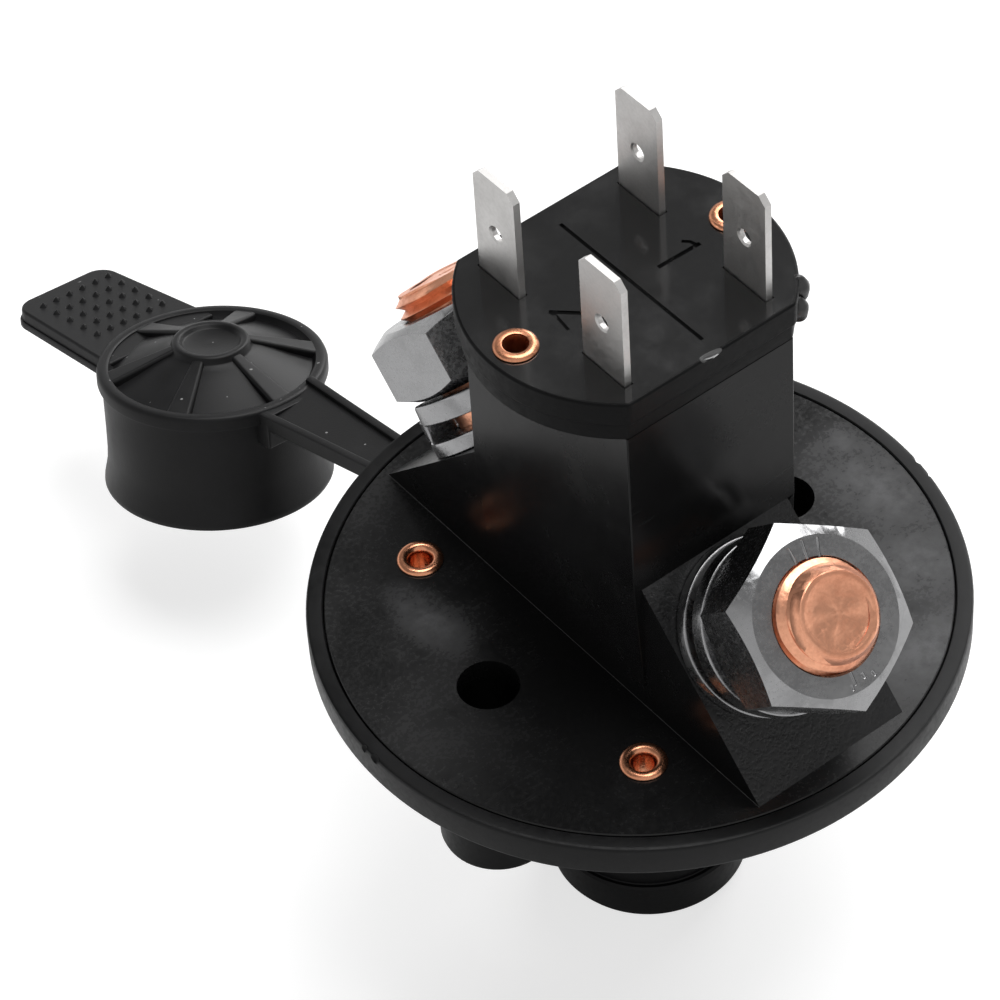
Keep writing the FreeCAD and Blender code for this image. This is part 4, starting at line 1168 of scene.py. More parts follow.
@dataclass
class BlockLid:
    """Flat-sided lid with an engraved rule and two plain marks."""

    radius: float = 17.0
    half_length: float = 13.4
    bottom: float = 46.1
    top: float = 49.1
    depth: float = 0.35
    blade_x: float = 8.9
    blade_y: float = 8.1
    slot_half: Pair = (0.55, 3.3)
    flake: Point = (-0.2, -13.4, 49.15)
    grooves: tuple[tuple[Pair, Pair, float], ...] = (
        ((0.36, 10.5), (0.45, -11.2), 0.42), ((-8.3, 1.6), (-5.9, -0.75), 0.5),
        ((-8.1, 1.4), (-8.5, -1.6), 0.5), ((3.65, -0.66), (8.95, -0.78), 0.5),
        ((8.5, -0.55), (8.35, 0.1), 0.42), ((8.4, 0.0), (7.75, 0.65), 0.42))

    def engrave(self, piece: Piece, start: Pair, end: Pair, width: float) -> None:
        """Cut one straight groove.

        Args:
            piece: the lid.
            start: first end.
            end: other end.
            width: width of the groove.
        """
        a, b = Vector(start), Vector(end)
        middle, way = (a + b) / 2, b - a
        tool = Bench.box("Graver", (-way.length / 2, -width / 2, -self.depth), (way.length / 2, width / 2, 1))
        tool.data.transform(Matrix.Translation((middle.x, middle.y, self.top))
                            @ Matrix.Rotation(math.atan2(way.y, way.x), 4, "Z"))
        Bench.boolean(piece, tool)

    def lump(self, name: str, centre: Point, size: Point, turn: float) -> Piece:
        """Make an uneven rounded lump.

        Args:
            name: name of the piece.
            centre: its middle.
            size: its half sizes.
            turn: its turn about Z, in degrees.

        Returns:
            The lump.
        """
        Bench.release()
        bpy.ops.mesh.primitive_ico_sphere_add(subdivisions=3, radius=1, location=(0, 0, 0))
        lump = Bench.named(name)
        for vert in lump.data.vertices:
            broad = 0.07 * math.sin(3 * vert.co.x + 1) * math.cos(4 * vert.co.y)
            vert.co *= 1 + broad + 0.03 * math.sin(7 * vert.co.z)
        lump.data.transform(Matrix.Translation(centre) @ Matrix.Rotation(math.radians(turn), 4, "Z")
                            @ Matrix.Diagonal((*size, 1)))
        return lump

    def nubs(self) -> list[Piece]:
        """Leave two lumps of moulding flash at the lid's near right corner.

        Returns:
            The lumps.
        """
        return [self.lump("FlashLump1", (13.05, -10.6, 47.4), (1.3, 1.0, 1.7), -38),
                self.lump("FlashLump2", (12.3, -11.45, 45.7), (1.2, 0.9, 1.6), -45)]

    def build(self) -> None:
        """Model and dress the lid."""
        finishes = [PALETTE.lid, PALETTE.edge, PALETTE.chip_and_glint, PALETTE.flash]
        edge, chip_and_glint, flash = range(1, len(finishes))
        middle, thickness = (self.bottom + self.top) / 2, self.top - self.bottom
        piece = Bench.rod("Lid", (0, 0, middle), self.radius, thickness, 128)
        Bench.trim(piece, self.half_length)
        Bench.soften(piece, 0.3, 3)
        for sx in BOTH:
            Bench.boolean(piece, Bench.rod("Drill", (sx * LID_RIVET_X, 0, 47), RIVET_HOLE, 8, 32))
            for sy in BOTH:
                x, y = sx * self.blade_x, sy * self.blade_y
                wide, long = self.slot_half
                Bench.boolean(piece, Bench.box("Slotter", (x - wide, y - long, 40), (x + wide, y + long, 52)))
        for start, end, width in self.grooves:
            self.engrave(piece, start, end, width)
        Bench.boolean(piece, self.lump("Flake", self.flake, (1.5, 0.55, 0.6), -6))
        Bench.paint(piece, edge, lambda face: face.normal.z < 0.99 and (
            abs(face.center.y) > self.half_length - 0.4 or face.center.xy.length > self.radius - 0.4))
        flake = Vector(self.flake)
        # The chip's faces are coloured lighter: partly the broken plastic, partly a painted glint.
        Bench.paint(piece, chip_and_glint, lambda face: (face.center - flake).length < 1.5
                    and max(map(abs, face.normal)) < 0.97)
        nubs = self.nubs()
        for nub in nubs:
            Bench.paint(nub, flash, lambda face: True)
        piece = Bench.join([piece] + nubs)
        Bench.finish(piece, HERE, finishes)
        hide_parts("block_lid")
        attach(piece, "switch")


@dataclass
class BladeTerminals:
    """The four blade terminals."""

    x: float = 8.9
    y: float = 8.1
    width: float = 6.3
    thickness: float = 0.8
    top: float = 62.4
    leg_top: float = 46.1
    leg_bottom: float = 40.8
    leg_x: float = 3.1
    hole_z: float = 55.4
    corner: float = 0.95

    def blade(self) -> Piece:
        """Model one blade, centred on its own tab: sheared top corners, a countersunk hole, a bent foot.

        Returns:
            The blade.
        """
        t, w = self.thickness / 2, self.width / 2
        piece = Bench.box("Blade", (-t, -w, self.leg_top - self.thickness), (t, w, self.top))
        Bench.edit(piece)
        Bench.pick(piece, Part.EDGE, lambda edge: all(v.co.z > self.top - 0.1 for v in edge.verts)
                   and abs(edge.verts[0].co.y - edge.verts[1].co.y) < 0.01)
        bpy.ops.mesh.bevel(offset=self.corner, segments=1)
        Bench.release()
        back, bend = -self.leg_x - self.thickness, self.leg_top - self.thickness
        hook = Bench.box("Hook", (back, -w, bend), (0, w, self.leg_top))
        leg = Bench.box("Leg", (back, -w, self.leg_bottom), (-self.leg_x, w, self.leg_top - 0.1))
        Bench.boolean(piece, hook, "UNION")
        Bench.boolean(piece, leg, "UNION")
        sink = Bench.turned("Sink", [
            (1.3, -t - 0.2), (1.05, -t), (0.85, -t + 0.16), (0.85, t - 0.16), (1.05, t), (1.3, t + 0.2)], 40)
        sink.data.transform(Matrix.Translation((0, 0, self.hole_z)) @ Matrix.Rotation(math.pi / 2, 4, "Y"))
        Bench.boolean(piece, sink)
        Bench.soften(piece, 0.16, 3, 30)
        return piece

    def build(self) -> None:
        """Model, copy and dress the blades."""
        master = self.blade()
        for index, (sx, sy) in enumerate(((-1, 1), (1, 1), (1, -1), (-1, -1))):
            turn = Matrix.Rotation(0.0 if sx > 0 else math.pi, 4, "Z")
            place = Matrix.Translation((sx * self.x, sy * self.y, 0)) @ turn
            piece = Bench.copy(master, "BladeTerminal%d" % (index + 1), place)
            Bench.finish(piece, HERE, [PALETTE.blade])
            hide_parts("blade_terminal_%d" % (index + 1))
            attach(piece, "switch")
        Bench.drop(master)


@dataclass
class Eyelets:
    """Hollow copper rivets of the flange and of the lid."""

    name: str
    head: float
    bottom: float
    top: float
    spots: tuple[Pair, ...]
    node: str
    bore: float = 1.1
    shank: float = 1.6

    def eyelet(self) -> Piece:
        """Turn one eyelet with a rolled head at each end.

        Returns:
            The eyelet.
        """
        b, s, r = self.bore, self.shank, self.head
        top, low = self.top, self.bottom
        rings = [
            (b, low - 0.5), (b + 0.2, low - 0.6), (r - 0.2, low - 0.6), (r, low - 0.3), (r, low), (s, low),
            (s, top), (r - 0.12, top), (r, top + 0.13), (r - 0.05, top + 0.3), (r - 0.3, top + 0.48),
            (r - 0.62, top + 0.55), (r - 0.95, top + 0.46), (b + 0.25, top + 0.2), (b, top - 0.2),
        ]
        return Bench.turned("Eyelet", rings, 48, closed=True)

    def build(self) -> None:
        """Copy the eyelet to its spots as one piece and dress it."""
        master = self.eyelet()
        copies = []
        for i, (x, y) in enumerate(self.spots):
            place = Matrix.Translation((x, y, 0)) @ Matrix.Rotation(i * 1.3, 4, "Z")
            copies.append(Bench.copy(master, "Eyelet%d" % i, place))
        Bench.drop(master)
        piece = Bench.join(copies)
        piece.name = self.name
        Bench.finish(piece, HERE, [PALETTE.eyelet], 50)
        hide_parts(self.node)
        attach(piece, "switch")


@dataclass
class StudSet:
    """One main stud with its nut and washers, modelled along its own axis from the wedge's face.

    Each of the marks is a scrape on the nut: its angle in degrees, inner end, outer end and width.
    """

    side: Side
    nut_turn: float
    split_turn: float
    end_radius: float
    cone_slope: float = 1.15
    marks: tuple[tuple[float, float, float, float], ...] = ()
    radius: float = 5.8
    root: float = 4.95
    pitch: float = 1.3
    thread_start: float = 13.55
    length: float = 17.1
    face_radius: float = 8.15
    washer: float = 9.4
    flat: float = 1.8
    lock: float = 2.4
    rise: float = 1.9
    seat: float = 6.3
    nut: float = 8.0
    across: float = 18.0
    split: float = math.radians(349)

    @property
    def place(self) -> Matrix:
        """Frame of the stud: Z along it, origin on the wedge's face."""
        spot = Matrix.Translation((0, self.side.value * STUD_Y, STUD_Z))
        return spot @ Matrix.Rotation(-self.side.value * math.pi / 4, 4, "X")

    def cone(self, height: float) -> float:
        """Radius of the end chamfer at a height along the stud."""
        return self.end_radius + (self.length - height) * self.cone_slope

    def thread(self) -> Piece:
        """Wind the thread: a V profile swept by the Screw modifier, turned down at the end chamfer.

        Returns:
            The thread's skin, from inside the nut to the chamfer.
        """
        Bench.release()
        bpy.ops.mesh.primitive_plane_add(size=1, location=(0, 0, 0))
        piece = Bench.named("Thread")
        mesh = piece.data
        mesh.clear_geometry()
        depth = self.radius - self.root
        profile = [(0.0, 0.0), (0.55, 0.30), (0.93, 0.45), (1.0, 0.5), (0.93, 0.55), (0.55, 0.70), (0.0, 1.0)]
        low = self.thread_start
        mesh.from_pydata([(self.root + depth * r, 0, low + self.pitch * z) for r, z in profile],
                         [(i, i + 1) for i in range(len(profile) - 1)], [])
        turns = max(1, math.ceil((self.length - low) / self.pitch))
        Bench.screw(piece, 72, turns, self.pitch, merge=True)
        for vert in piece.data.vertices:
            around = math.atan2(vert.co.y, vert.co.x)
            radius = math.hypot(vert.co.x, vert.co.y)
            worn = 0.05 * math.sin(3.0 * around + 2.1 * vert.co.z) + 0.035 * math.sin(7.0 * around + 1.0)
            limit = min(radius + worn * (radius > self.root + 0.1), self.cone(vert.co.z) + worn, self.radius)
            vert.co = (limit * math.cos(around), limit * math.sin(around), min(vert.co.z, self.length - 0.06))
        return piece

    def stud(self) -> Piece:
        """Model the stud: head, shank, thread and the chamfered end, which is slightly dished.

        Returns:
            The stud.
        """
        tip, r = self.length, self.end_radius
        core = Bench.turned("Stud", [
            (6.8, -7.0), (6.8, -4.0), (self.radius, -4.0), (self.radius, self.seat + self.nut - 1.2),
            (self.root, self.seat + self.nut - 1.0),
            (self.root, tip - max(0.05, (self.root - r) / self.cone_slope)), (r + 0.06, tip - 0.06),
            (r - 0.1, tip), (r - 0.55, tip - 0.03), (r - 0.8, tip - 0.13), (2.4, tip - 0.16),
            (0.4, tip - 0.15)], 96)
        for vert in core.data.vertices:
            if vert.co.z > tip - 0.5:
                around = math.atan2(vert.co.y, vert.co.x)
                vert.co.z += 0.05 * math.sin(2.0 * around + 0.4) + 0.04 * math.sin(5.0 * around + 1.7)
        return Bench.join([core, self.thread()])

    def groove(self, piece: Piece, angle: float, inner: float, outer: float, width: float) -> None:
        """Scrape one radial groove into the nut's face.

        Args:
            piece: the nut.
            angle: where, in degrees.
            inner: its inner end, from the axis.
            outer: its outer end.
            width: its width.
        """
        tool = Bench.box("Scraper", (inner, -width / 2, -0.12), (outer, width / 2, 0.6))
        Bench.soften(tool, width * 0.3, 2)
        tool.data.transform(Matrix.Translation((0, 0, self.seat + self.nut))
                            @ Matrix.Rotation(math.radians(angle), 4, "Z"))
        Bench.boolean(piece, tool)

    def hexagon(self) -> Piece:
        """Model the nut: a hexagon turned down at its corners, bored, with the spanner's marks.

        Returns:
            The nut, turned to its place.
        """
        corner = self.across / 2 / math.cos(math.pi / 6)
        piece = Bench.rod("Nut", (0, 0, self.seat + self.nut / 2), corner, self.nut, 6)
        low, high, face = self.seat, self.seat + self.nut, self.face_radius
        slope = math.tan(math.radians(30))
        shape = Bench.turned("Lathe", [
            (face + 0.2, low), (corner + 0.3, low + (corner + 0.1 - face) * slope),
            (corner + 0.3, high - (corner + 0.3 - face) * slope), (face, high)], 144)
        Bench.boolean(piece, shape, "INTERSECT")
        bore = Bench.turned("Bore", [
            (self.radius + 0.45, low - 0.5), (self.radius + 0.4, low), (self.radius + 0.03, low + 0.35),
            (self.radius + 0.03, high - 0.2), (self.radius + 0.22, high),
            (self.radius + 0.25, high + 0.5)], 96)
        Bench.boolean(piece, bore)
        piece.data.transform(Matrix.Rotation(self.nut_turn, 4, "Z"))
        for angle, inner, outer, width in self.marks:
            self.groove(piece, angle, inner, outer, width)
        Bench.soften(piece, 0.12, 2, 22)
        return piece

    def flat_washer(self) -> Piece:
        """Turn the plain washer.

        Returns:
            The washer.
        """
        hole = self.radius + 0.25
        return Bench.turned("FlatWasher", [
            (hole, 0.0), (self.washer - 0.2, 0.0), (self.washer, 0.2), (self.washer, self.flat - 0.35),
            (self.washer - 0.1, self.flat - 0.1), (self.washer - 0.35, self.flat), (hole + 0.1, self.flat),
            (hole, self.flat - 0.1)], 128, closed=True)

    def lock_washer(self) -> Piece:
        """Wind the split washer: its section is swept just under a turn and capped.

        Returns:
            The washer.
        """
        low = self.flat + 0.1
        piece = Bench.box("LockWasher", (self.radius + 0.3, -0.01, low), (self.washer, 0.01, low + self.lock))
        Bench.edit(piece)
        Bench.pick(piece, Part.FACE, lambda face: abs(face.normal.y) < 0.5 or face.normal.y > 0.5)
        bpy.ops.mesh.delete(type="FACE")
        bpy.ops.mesh.select_all(action="SELECT")
        bpy.ops.mesh.bevel(offset=0.28, segments=2, affect="VERTICES")
        Bench.pick(piece, Part.FACE, lambda face: True)
        bpy.ops.mesh.spin(steps=96, angle=-self.split, center=(0, 0, 0), axis=(0, 0, 1))
        Bench.release()
        for vert in piece.data.vertices:
            around = -math.atan2(vert.co.y, vert.co.x) % (2 * math.pi)
            vert.co.z += self.rise * (0.0 if around > self.split + 0.05 else around / self.split)
        Bench.tidy(piece)
        return piece

    def build(self) -> None:
        """Model, place and dress the stud and its hardware."""
        nut = self.hexagon()
        lock = self.lock_washer()
        lock.data.transform(Matrix.Rotation(self.split_turn, 4, "Z"))
        for piece, node, finish in (
                (self.stud(), "stud", PALETTE.copper), (nut, "hex_nut", PALETTE.zinc),
                (self.flat_washer(), "flat_washer", PALETTE.zinc), (lock, "lock_washer", PALETTE.zinc)):
            piece.name = node.title().replace("_", "") + self.side.name.title()
            Bench.finish(piece, self.place, [finish], 32)
            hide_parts(node + "_" + self.side.label)
            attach(piece, "switch")


@dataclass
class SplashCap:
    """Rubber splash cap, its pull tab, the strap and the ring round the collar."""

    swivel: float = math.radians(4.9)
    fold_radius: float = 16.8
    slope: float = math.radians(10.0)
    level: float = -2.15
    strap_length: float = 37.85
    cap_fold_radius: float = 16.8
    yaw: float = math.radians(2.3)
    twist: float = math.radians(11.25)
    twist_share: float = 0.5
    thickness: float = 2.0
    web: float = 1.0
    bead: float = 1.1
    narrow: float = 2.9
    wide: float = 4.6
    lean: float = 0.7
    radius: float = 13.35
    waist: float = 12.75
    height: float = 14.9
    bore: float = 11.75
    offset: Pair = (0.35, -0.45)
    ceiling: float = 2.4
    hub: float = 4.4
    dome: float = 2.8
    tab_half: float = 8.0
    tab_end_half: float = 6.8
    tab_reach: float = 26.85
    tab_top: float = -0.3
    tab_thickness: float = 2.3
    nub_rows: int = 5
    nub_columns: int = 6
    nub_pitch: Pair = (1.99, 2.47)
    nub_start: Pair = (0.5, 24.2)
    ring_bore: float = 10.5
    ring_radius: float = 13.3
    spokes: int = 6
    spoke_turn: float = math.radians(30)

    @property
    def strap_frame(self) -> Matrix:
        """Frame of the strap: Y along it from the first fold."""
        return (Matrix.Rotation(self.swivel, 4, "Z") @ Matrix.Translation((0, self.fold_radius, self.level))
                @ Matrix.Rotation(-self.slope, 4, "X"))

    @property
    def cap_frame(self) -> Matrix:
        """Frame of the cap: Z out of its top, Y towards the pull tab."""
        return (self.strap_frame @ Matrix.Translation((0, self.strap_length, 0))
                @ Matrix.Rotation(self.yaw, 4, "Z") @ Matrix.Translation((0, self.cap_fold_radius, 0))
                @ Matrix.Rotation(self.twist, 4, "Y") @ Matrix.Translation((0, 0, self.thickness / 2)))

    def skirt(self) -> Piece:
        """Turn the cup: waisted skirt, rim bead, recessed top and hub.

        Returns:
            The cup.
        """
        h, r, w = self.height, self.radius, self.waist
        return Bench.turned("CapCup", [
            (0.5, -self.ceiling), (self.bore - 1.0, -self.ceiling), (self.bore, -self.ceiling - 1.0),
            (self.bore, -h + 0.2), (self.bore + 0.2, -h), (r - 0.15, -h), (r, -h + 0.25),
            (r - 0.05, -h + 0.7), (w + 0.12, -h + 2.6), (w, -h + 4.5), (w, -h + 7.5), (w + 0.05, -3.4),
            (w + 0.12, -1.95), (r - 0.05, -1.75), (r, -1.6), (r, -0.6), (r - 0.15, -0.22), (r - 0.45, -0.02),
            (r - 1.1, 0.0), (r - 1.4, -0.14), (r - 1.62, -0.62), (r - 1.85, -0.88), (r - 2.3, -0.76),
            (9.0, 0.12), (7.0, 1.05), (5.6, 1.62), (self.hub + 0.45, 1.86), (self.hub + 0.22, 2.05),
            (self.hub + 0.1, self.dome - 0.25), (self.hub - 0.05, self.dome - 0.05),
            (self.hub - 0.3, self.dome + 0.02), (self.hub - 0.7, self.dome), (self.hub - 0.92, self.dome - 0.12),
            (self.hub - 1.08, self.dome - 0.42), (self.hub - 1.3, self.dome - 0.52),
            (0.5, self.dome - 0.5)], 128)

    def spoke(self) -> Piece:
        """Shape one spoke from a box: it widens outwards and is creased along its middle.

        Returns:
            The spoke along +X.
        """
        inner, outer = self.hub - 0.2, self.radius - 1.2
        piece = Bench.box("Spoke", (inner, -0.72, -1.8), (outer, 0.72, self.dome - 0.28))
        Bench.edit(piece)
        Bench.pick(piece, Part.VERT, lambda vert: vert.co.x > outer - 0.1)
        bpy.ops.transform.resize(value=(1, 2.0, 1))
        Bench.pick(piece, Part.VERT, lambda vert: vert.co.x > outer - 0.1 and vert.co.z > 0)
        bpy.ops.transform.translate(value=(0, 0, -self.dome + 0.12))
        Bench.pick(piece, Part.EDGE, lambda edge: edge.verts[0].co.z > -0.5 and edge.verts[1].co.z > -0.5
                   and abs(edge.verts[0].co.x - edge.verts[1].co.x) > 1)
        bpy.ops.mesh.bevel(offset=0.42, segments=4, profile=0.5)
        Bench.release()
        return piece

    def tab(self) -> Piece:
        """Shape the pull tab: a rounded plate with rows of small pyramids.

        Returns:
            The tab.
        """
        low = self.tab_top - self.tab_thickness
        piece = Bench.box("Tab", (-self.tab_half, 8.0, low), (self.tab_half, self.tab_reach, self.tab_top))
        Bench.edit(piece)
        Bench.pick(piece, Part.VERT, lambda vert: vert.co.y > 20)
        bpy.ops.transform.resize(value=(self.tab_end_half / self.tab_half, 1, 1))
        Bench.pick(piece, Part.EDGE, lambda edge: abs(edge.verts[0].co.z - edge.verts[1].co.z) > 1
                   and edge.verts[0].co.y > 20)
        bpy.ops.mesh.bevel(offset=2.3, segments=10)
        Bench.release()
        flatter = (Matrix.Translation((0, 0.18, low)) @ Matrix.Diagonal((1.03, 1.0, 0.42, 1))
                   @ Matrix.Translation((0, 0, -low)))
        lip = Bench.copy(piece, "TabLip", flatter)
        Bench.soften(piece, 0.32, 3, 40)
        Bench.soften(lip, 0.2, 2, 40)
        Bench.release()
        bpy.ops.mesh.primitive_cone_add(
            vertices=4, radius1=0.66, radius2=0.06, depth=0.55, location=(0, 0, 0))
        nub = Bench.named("Nub")
        Bench.soften(nub, 0.06, 2, 20)
        nubs = []
        for row in range(self.nub_rows):
            for column in range(self.nub_columns):
                x = self.nub_start[0] + (column - (self.nub_columns - 1) / 2) * self.nub_pitch[0]
                y = self.nub_start[1] - row * self.nub_pitch[1]
                spot = Matrix.Translation((x, y, self.tab_top + 0.2))
                nubs.append(Bench.copy(nub, "Nub%d_%d" % (row, column), spot))
        Bench.drop(nub)
        return Bench.join([piece, lip] + nubs)

    def cup(self) -> None:
        """Assemble and dress the cap itself."""
        centre = Matrix.Translation((*self.offset, 0))
        skirt = self.skirt()
        skirt.data.transform(centre)
        pieces = [skirt, self.tab()]
        spoke = self.spoke()
        for index in range(self.spokes):
            turn = self.spoke_turn + index * 2 * math.pi / self.spokes
            pieces.append(Bench.copy(spoke, "Spoke%d" % index, centre @ Matrix.Rotation(turn, 4, "Z")))
        Bench.drop(spoke)
        gusset = Bench.box("Gusset", (-3.6, -14.5, -4.6), (3.6, -11.9, -0.3))
        Bench.soften(gusset, 0.3, 2)
        pieces.append(gusset)
        piece = Bench.join(pieces)
        piece.name = "SplashCap"
        Bench.finish(piece, self.cap_frame, [PALETTE.rubber], 40)
        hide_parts("splash_cap")
        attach(piece, "cap")

    def strap_width(self, along: float) -> float:
        """Half width of the strap.

        Args:
            along: distance from the first fold.

        Returns:
            Half width in millimetres.
        """
        share = max(0.0, min(1.0, (along - 20.0) / (self.strap_length - 15.0)))
        return self.narrow + (self.wide - self.narrow) * share

    def strap(self, name: str, low: float, high: float) -> Piece:
        """Model a length of the strap: a web with two raised edge beads, twisted along the way.

        Args:
            name: name of the piece.
            low: where it starts, from the first fold.
            high: where it ends.

        Returns:
            The length of strap, in the strap's frame.
        """
        half_web, half_bead = self.web / 2, self.thickness / 2
        parts = [Bench.box("Web", (-1, 0, -half_web), (1, 1, half_web))]
        for side in BOTH:
            bead = Bench.box("Bead", (-0.5, 0, -half_bead), (0.5, 1, half_bead))
            bead["side"] = side
            Bench.edit(bead)
            Bench.pick(bead, Part.EDGE, lambda edge: abs(edge.verts[0].co.y - edge.verts[1].co.y) > 0.5)
            bpy.ops.mesh.bevel(offset=0.22, segments=2)
            parts.append(bead)
        cuts = max(6, int((high - low) / 1.2))
        for part in parts:
            Bench.edit(part)
            for index in range(1, cuts):
                bpy.ops.mesh.select_all(action="SELECT")
                bpy.ops.mesh.bisect(plane_co=(0, index / cuts, 0), plane_no=(0, 1, 0))
            Bench.release()
            side = part.get("side", 0)
            for vert in part.data.vertices:
                along = low + vert.co.y * (high - low)
                half = self.strap_width(along)
                if side:
                    x = side * (half - self.bead / 2) + vert.co.x * self.bead
                else:
                    x = vert.co.x * (half - self.bead * 0.6)
                share = max(0.0, min(1.0, along / self.strap_length))
                share = share * share * (3 - 2 * share)
                turn = self.twist * share * self.twist_share
                x += self.lean * min(1.0, 1.6 * share)
                z = vert.co.z
                vert.co = (x * math.cos(turn) + z * math.sin(turn), along,
                           -x * math.sin(turn) + z * math.cos(turn))
        piece = Bench.join(parts)
        piece.name = name
        return piece

    def build(self) -> None:
        """Model and dress the ring, the strap and the cap."""
        self.cup()
        middle = self.strap_length / 2
        ring = Bench.turned("Ring", [
            (self.ring_bore, self.level - 1.8), (self.ring_radius - 0.3, self.level - 1.8),
            (self.ring_radius, self.level - 1.5), (self.ring_radius, self.level + 1.5),
            (self.ring_radius - 0.3, self.level + 1.8), (self.ring_bore, self.level + 1.8)], 96, closed=True)
        ring.data.transform(Matrix.Rotation(self.swivel, 4, "Z"))
        first = self.strap("CapStrapA", -4.4, middle)
        first.data.transform(self.strap_frame)
        first = Bench.join([first, ring])
        Bench.finish(first, HERE, [PALETTE.rubber], 40)
        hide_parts("cap_ring", "cap_strap")
        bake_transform(first)
        second = self.strap("CapStrapB", middle, self.strap_length + self.cap_fold_radius - self.waist + 0.7)
        Bench.finish(second, self.strap_frame, [PALETTE.rubber], 40)
        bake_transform(second)


@dataclass
class ReturnSpring:
    """Helical return spring between the bridge and the shelf."""

    wire: float = 0.4
    radius: float = 5.3
    bottom: float = 15.25
    shelf: float = 26.0
    gap: float = 0.05
    coils: int = 4
    lift: float = 2.4

    def build(self) -> None:
        """Wind and dress the spring."""
        low = self.bottom + self.wire
        run = self.shelf - self.gap - self.wire - low
        Bench.release()
        bpy.ops.mesh.primitive_circle_add(vertices=12, radius=self.wire, location=(0, 0, 0))
        piece = Bench.named("ReturnSpring")
        piece.data.transform(Matrix.Translation((self.radius, 0, low)) @ Matrix.Rotation(math.pi / 2, 4, "X"))
        Bench.screw(piece, 32, self.coils, run / self.coils)
        Bench.edit(piece)
        bpy.ops.mesh.select_all(action="SELECT")
        bpy.ops.mesh.fill_holes(sides=12)
        Bench.release()
        Bench.tidy(piece)
        Bench.finish(piece, HERE, [PALETTE.spring])
        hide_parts("return_spring")
        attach(piece, "switch")
        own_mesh(piece)


@dataclass
class InnerWorks:
    """CAD nodes inside the housing, kept as they are and given their finishes."""

    finishes: dict[str, Finish] = field(default_factory=lambda: {
        "key_rotor": PALETTE.inner, "rotor_seal": PALETTE.seal, "contact_carrier": PALETTE.inner,
        "main_bridge": PALETTE.copper, "auxiliary_carrier": PALETTE.inner,
        "auxiliary_strip_1": PALETTE.blade, "auxiliary_strip_2": PALETTE.blade})

    def dress(self, nodes: dict[str, Piece]) -> None:
        """Assign the finishes to the nodes.

        Args:
            nodes: CAD nodes by name.
        """
        for name, finish in self.finishes.items():
            for slot in nodes[name].material_slots:
                slot.link = "OBJECT"
                slot.material = finish.material()


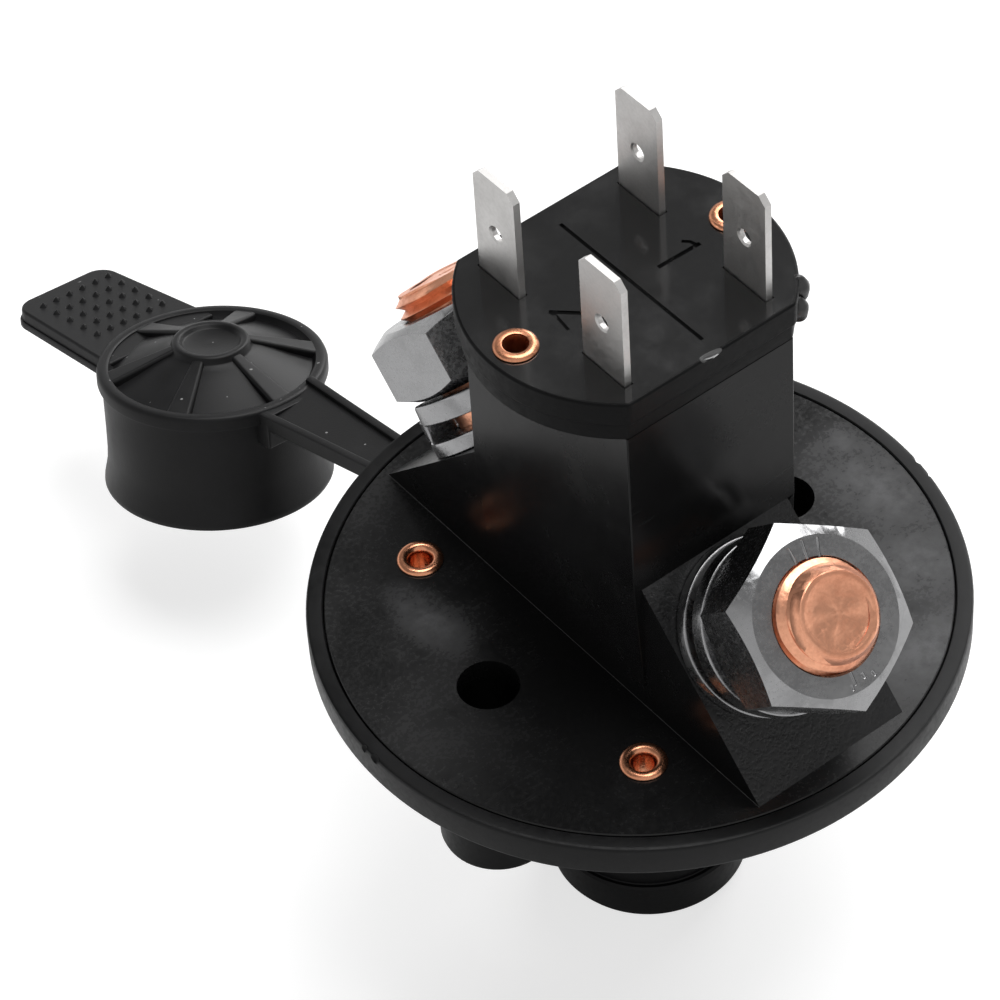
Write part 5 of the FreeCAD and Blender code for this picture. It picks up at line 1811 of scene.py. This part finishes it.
@dataclass
class Studio:
    """Floor, light and camera of the picture."""

    floor_z: float = -37.6
    azimuth: float = 35.41
    elevation: float = 46.72
    roll: float = -4.24
    distance: float = 501.7
    target: Point = (-2.9, 19.7, 4.0)
    focal: float = 4692.7
    ceiling: float = 0.25
    front: float = 0.75
    sensor: float = 36.0
    picture: float = 1000.0
    lamps: tuple[tuple[str, Point, float, float], ...] = (
        ("TopLamp", (0.28, 0.05, 0.9), 0.75, 9.0), ("SideLamp", (0.9, 0.45, 0.5), 0.6, 6.0))

    def camera(self) -> None:
        """Stand the camera where the fitted view has it."""
        az, el, roll = (math.radians(v) for v in (self.azimuth, self.elevation, self.roll))
        back = Vector((-math.sin(az) * math.cos(el), -math.cos(az) * math.cos(el), math.sin(el)))
        right = (-back).cross(Vector((0, 0, 1))).normalized()
        up = right.cross(-back)
        across = right * math.cos(roll) + up * math.sin(roll)
        upright = up * math.cos(roll) - right * math.sin(roll)
        data = bpy.data.cameras.new("View")
        data.sensor_width = self.sensor
        data.lens = self.focal / self.picture * self.sensor
        data.clip_start, data.clip_end = 0.01, 20
        item = bpy.data.objects.new("View", data)
        bpy.context.collection.objects.link(item)
        where = (Vector(self.target) + back * self.distance) * MM
        item.matrix_world = Matrix((across, upright, back)).transposed().to_4x4()
        item.matrix_world.translation = where
        bpy.context.scene.camera = item

    def lamp(self, name: str, where: Point, size: float, power: float) -> None:
        """Hang a soft lamp that looks at the switch.

        Args:
            name: the lamp's name.
            where: its place in metres.
            size: its width in metres.
            power: its power in watts.
        """
        data = bpy.data.lights.new(name, "AREA")
        data.shape = "SQUARE"
        data.size = size
        data.energy = power
        item = bpy.data.objects.new(name, data)
        bpy.context.collection.objects.link(item)
        item.location = where
        item.rotation_mode = "QUATERNION"
        item.rotation_quaternion = (Vector((0, 0, 0)) - Vector(where)).to_track_quat("-Z", "Y")

    def backdrop(self) -> None:
        """White backdrop for the camera and in reflections, under a dimmer ceiling; weaker as a light."""
        world = bpy.data.worlds.new("Studio")
        bpy.context.scene.world = world
        world.use_nodes = True
        graph = Graph(world.node_tree)
        shader = world.node_tree.nodes["Background"]
        shader.inputs["Color"].default_value = (1, 1, 1, 1)
        path = graph.add("ShaderNodeLightPath")
        seen = graph.math("MAXIMUM", path.outputs["Is Camera Ray"], path.outputs["Is Transmission Ray"])
        seen = graph.math("MAXIMUM", seen, path.outputs["Is Glossy Ray"])
        level = graph.ramp(seen, 0.0, 1.0, 0.45, 1.0)
        height = graph.add("ShaderNodeSeparateXYZ")
        graph.join(graph.add("ShaderNodeTexCoord").outputs["Generated"], height.inputs[0])
        ceiling = graph.ramp(height.outputs["Z"], 0.20, 0.48, 1.0, self.ceiling)
        az = math.radians(self.azimuth)
        front = graph.math("ADD", graph.math("MULTIPLY", height.outputs["X"], -math.sin(az)),
                           graph.math("MULTIPLY", height.outputs["Y"], -math.cos(az)))
        ceiling = graph.math("MAXIMUM", ceiling, graph.ramp(front, 0.25, 0.6, 0.0, self.front))
        shade = graph.math("MAXIMUM", ceiling, path.outputs["Is Camera Ray"])
        graph.join(graph.math("MULTIPLY", level, shade), shader.inputs["Strength"])

    def floor(self) -> None:
        """Lay the pale floor, which keeps the switch's shadow."""
        Bench.release()
        bpy.ops.mesh.primitive_plane_add(size=6, location=(0, 0, self.floor_z * MM - 0.0002))
        piece = Bench.named("Floor")
        bpy.ops.object.transform_apply(location=True)
        material = bpy.data.materials.new("FloorPaper")
        material.use_nodes = True
        graph = Graph(material.node_tree)
        shader = material.node_tree.nodes["Principled BSDF"]
        shader.inputs["Roughness"].default_value = 0.9
        shader.inputs["Specular IOR Level"].default_value = 0.1
        path = graph.add("ShaderNodeLightPath")
        shader.inputs["Emission Color"].default_value = (1, 1, 1, 1)
        seen = path.outputs["Is Camera Ray"]
        graph.join(graph.ramp(seen, 0.0, 1.0, 0.1, 0.7), shader.inputs["Emission Strength"])
        graph.join(graph.ramp(seen, 0.0, 1.0, 0.85, 0.5), shader.inputs["Base Color"])
        piece.data.materials.append(material)

    def build(self) -> None:
        """Set up the whole studio."""
        self.camera()
        self.backdrop()
        self.floor()
        for name, where, size, power in self.lamps:
            self.lamp(name, where, size, power)
        bpy.context.scene.view_settings.view_transform = "Standard"


def main() -> None:
    """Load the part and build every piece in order."""
    logging.basicConfig(level=logging.INFO, format="%(message)s")
    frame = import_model()
    rivets = ((RIVET_X, RIVET_Y), (-RIVET_X, RIVET_Y), (-RIVET_X, -RIVET_Y), (RIVET_X, -RIVET_Y))
    lid_rivets = ((LID_RIVET_X, 0.0), (-LID_RIVET_X, 0.0))
    scrapes = (
        (91.5, 5.6, 7.8, 0.42), (78.7, 5.5, 7.95, 0.36), (65.5, 5.9, 7.9, 0.3), (-95.5, 6.0, 7.5, 0.35),
        (-86.0, 6.6, 7.4, 0.5), (-77.5, 7.2, 7.9, 0.45), (-99.0, 7.2, 7.9, 0.4))
    steps = (
        Studio(), Flange(), RearBody(), BlockLid(), BladeTerminals(),
        Eyelets("FlangeEyelets", 2.5, 0.0, 4.0, rivets, "disc_rivets"),
        Eyelets("LidEyelets", 2.3, 43.9, 49.1, lid_rivets, "lid_rivets"),
        StudSet(Side.NEAR, math.radians(-2.5), math.radians(60), 4.3, 0.62, scrapes),
        StudSet(Side.FAR, math.radians(12), math.radians(161), 4.9, 1.6),
        SplashCap(), ReturnSpring())
    for step in steps:
        step.build()
        LOG.info("built %s", type(step).__name__)
    InnerWorks().dress(frame["nodes"])


if __name__ == "__main__":
    main()
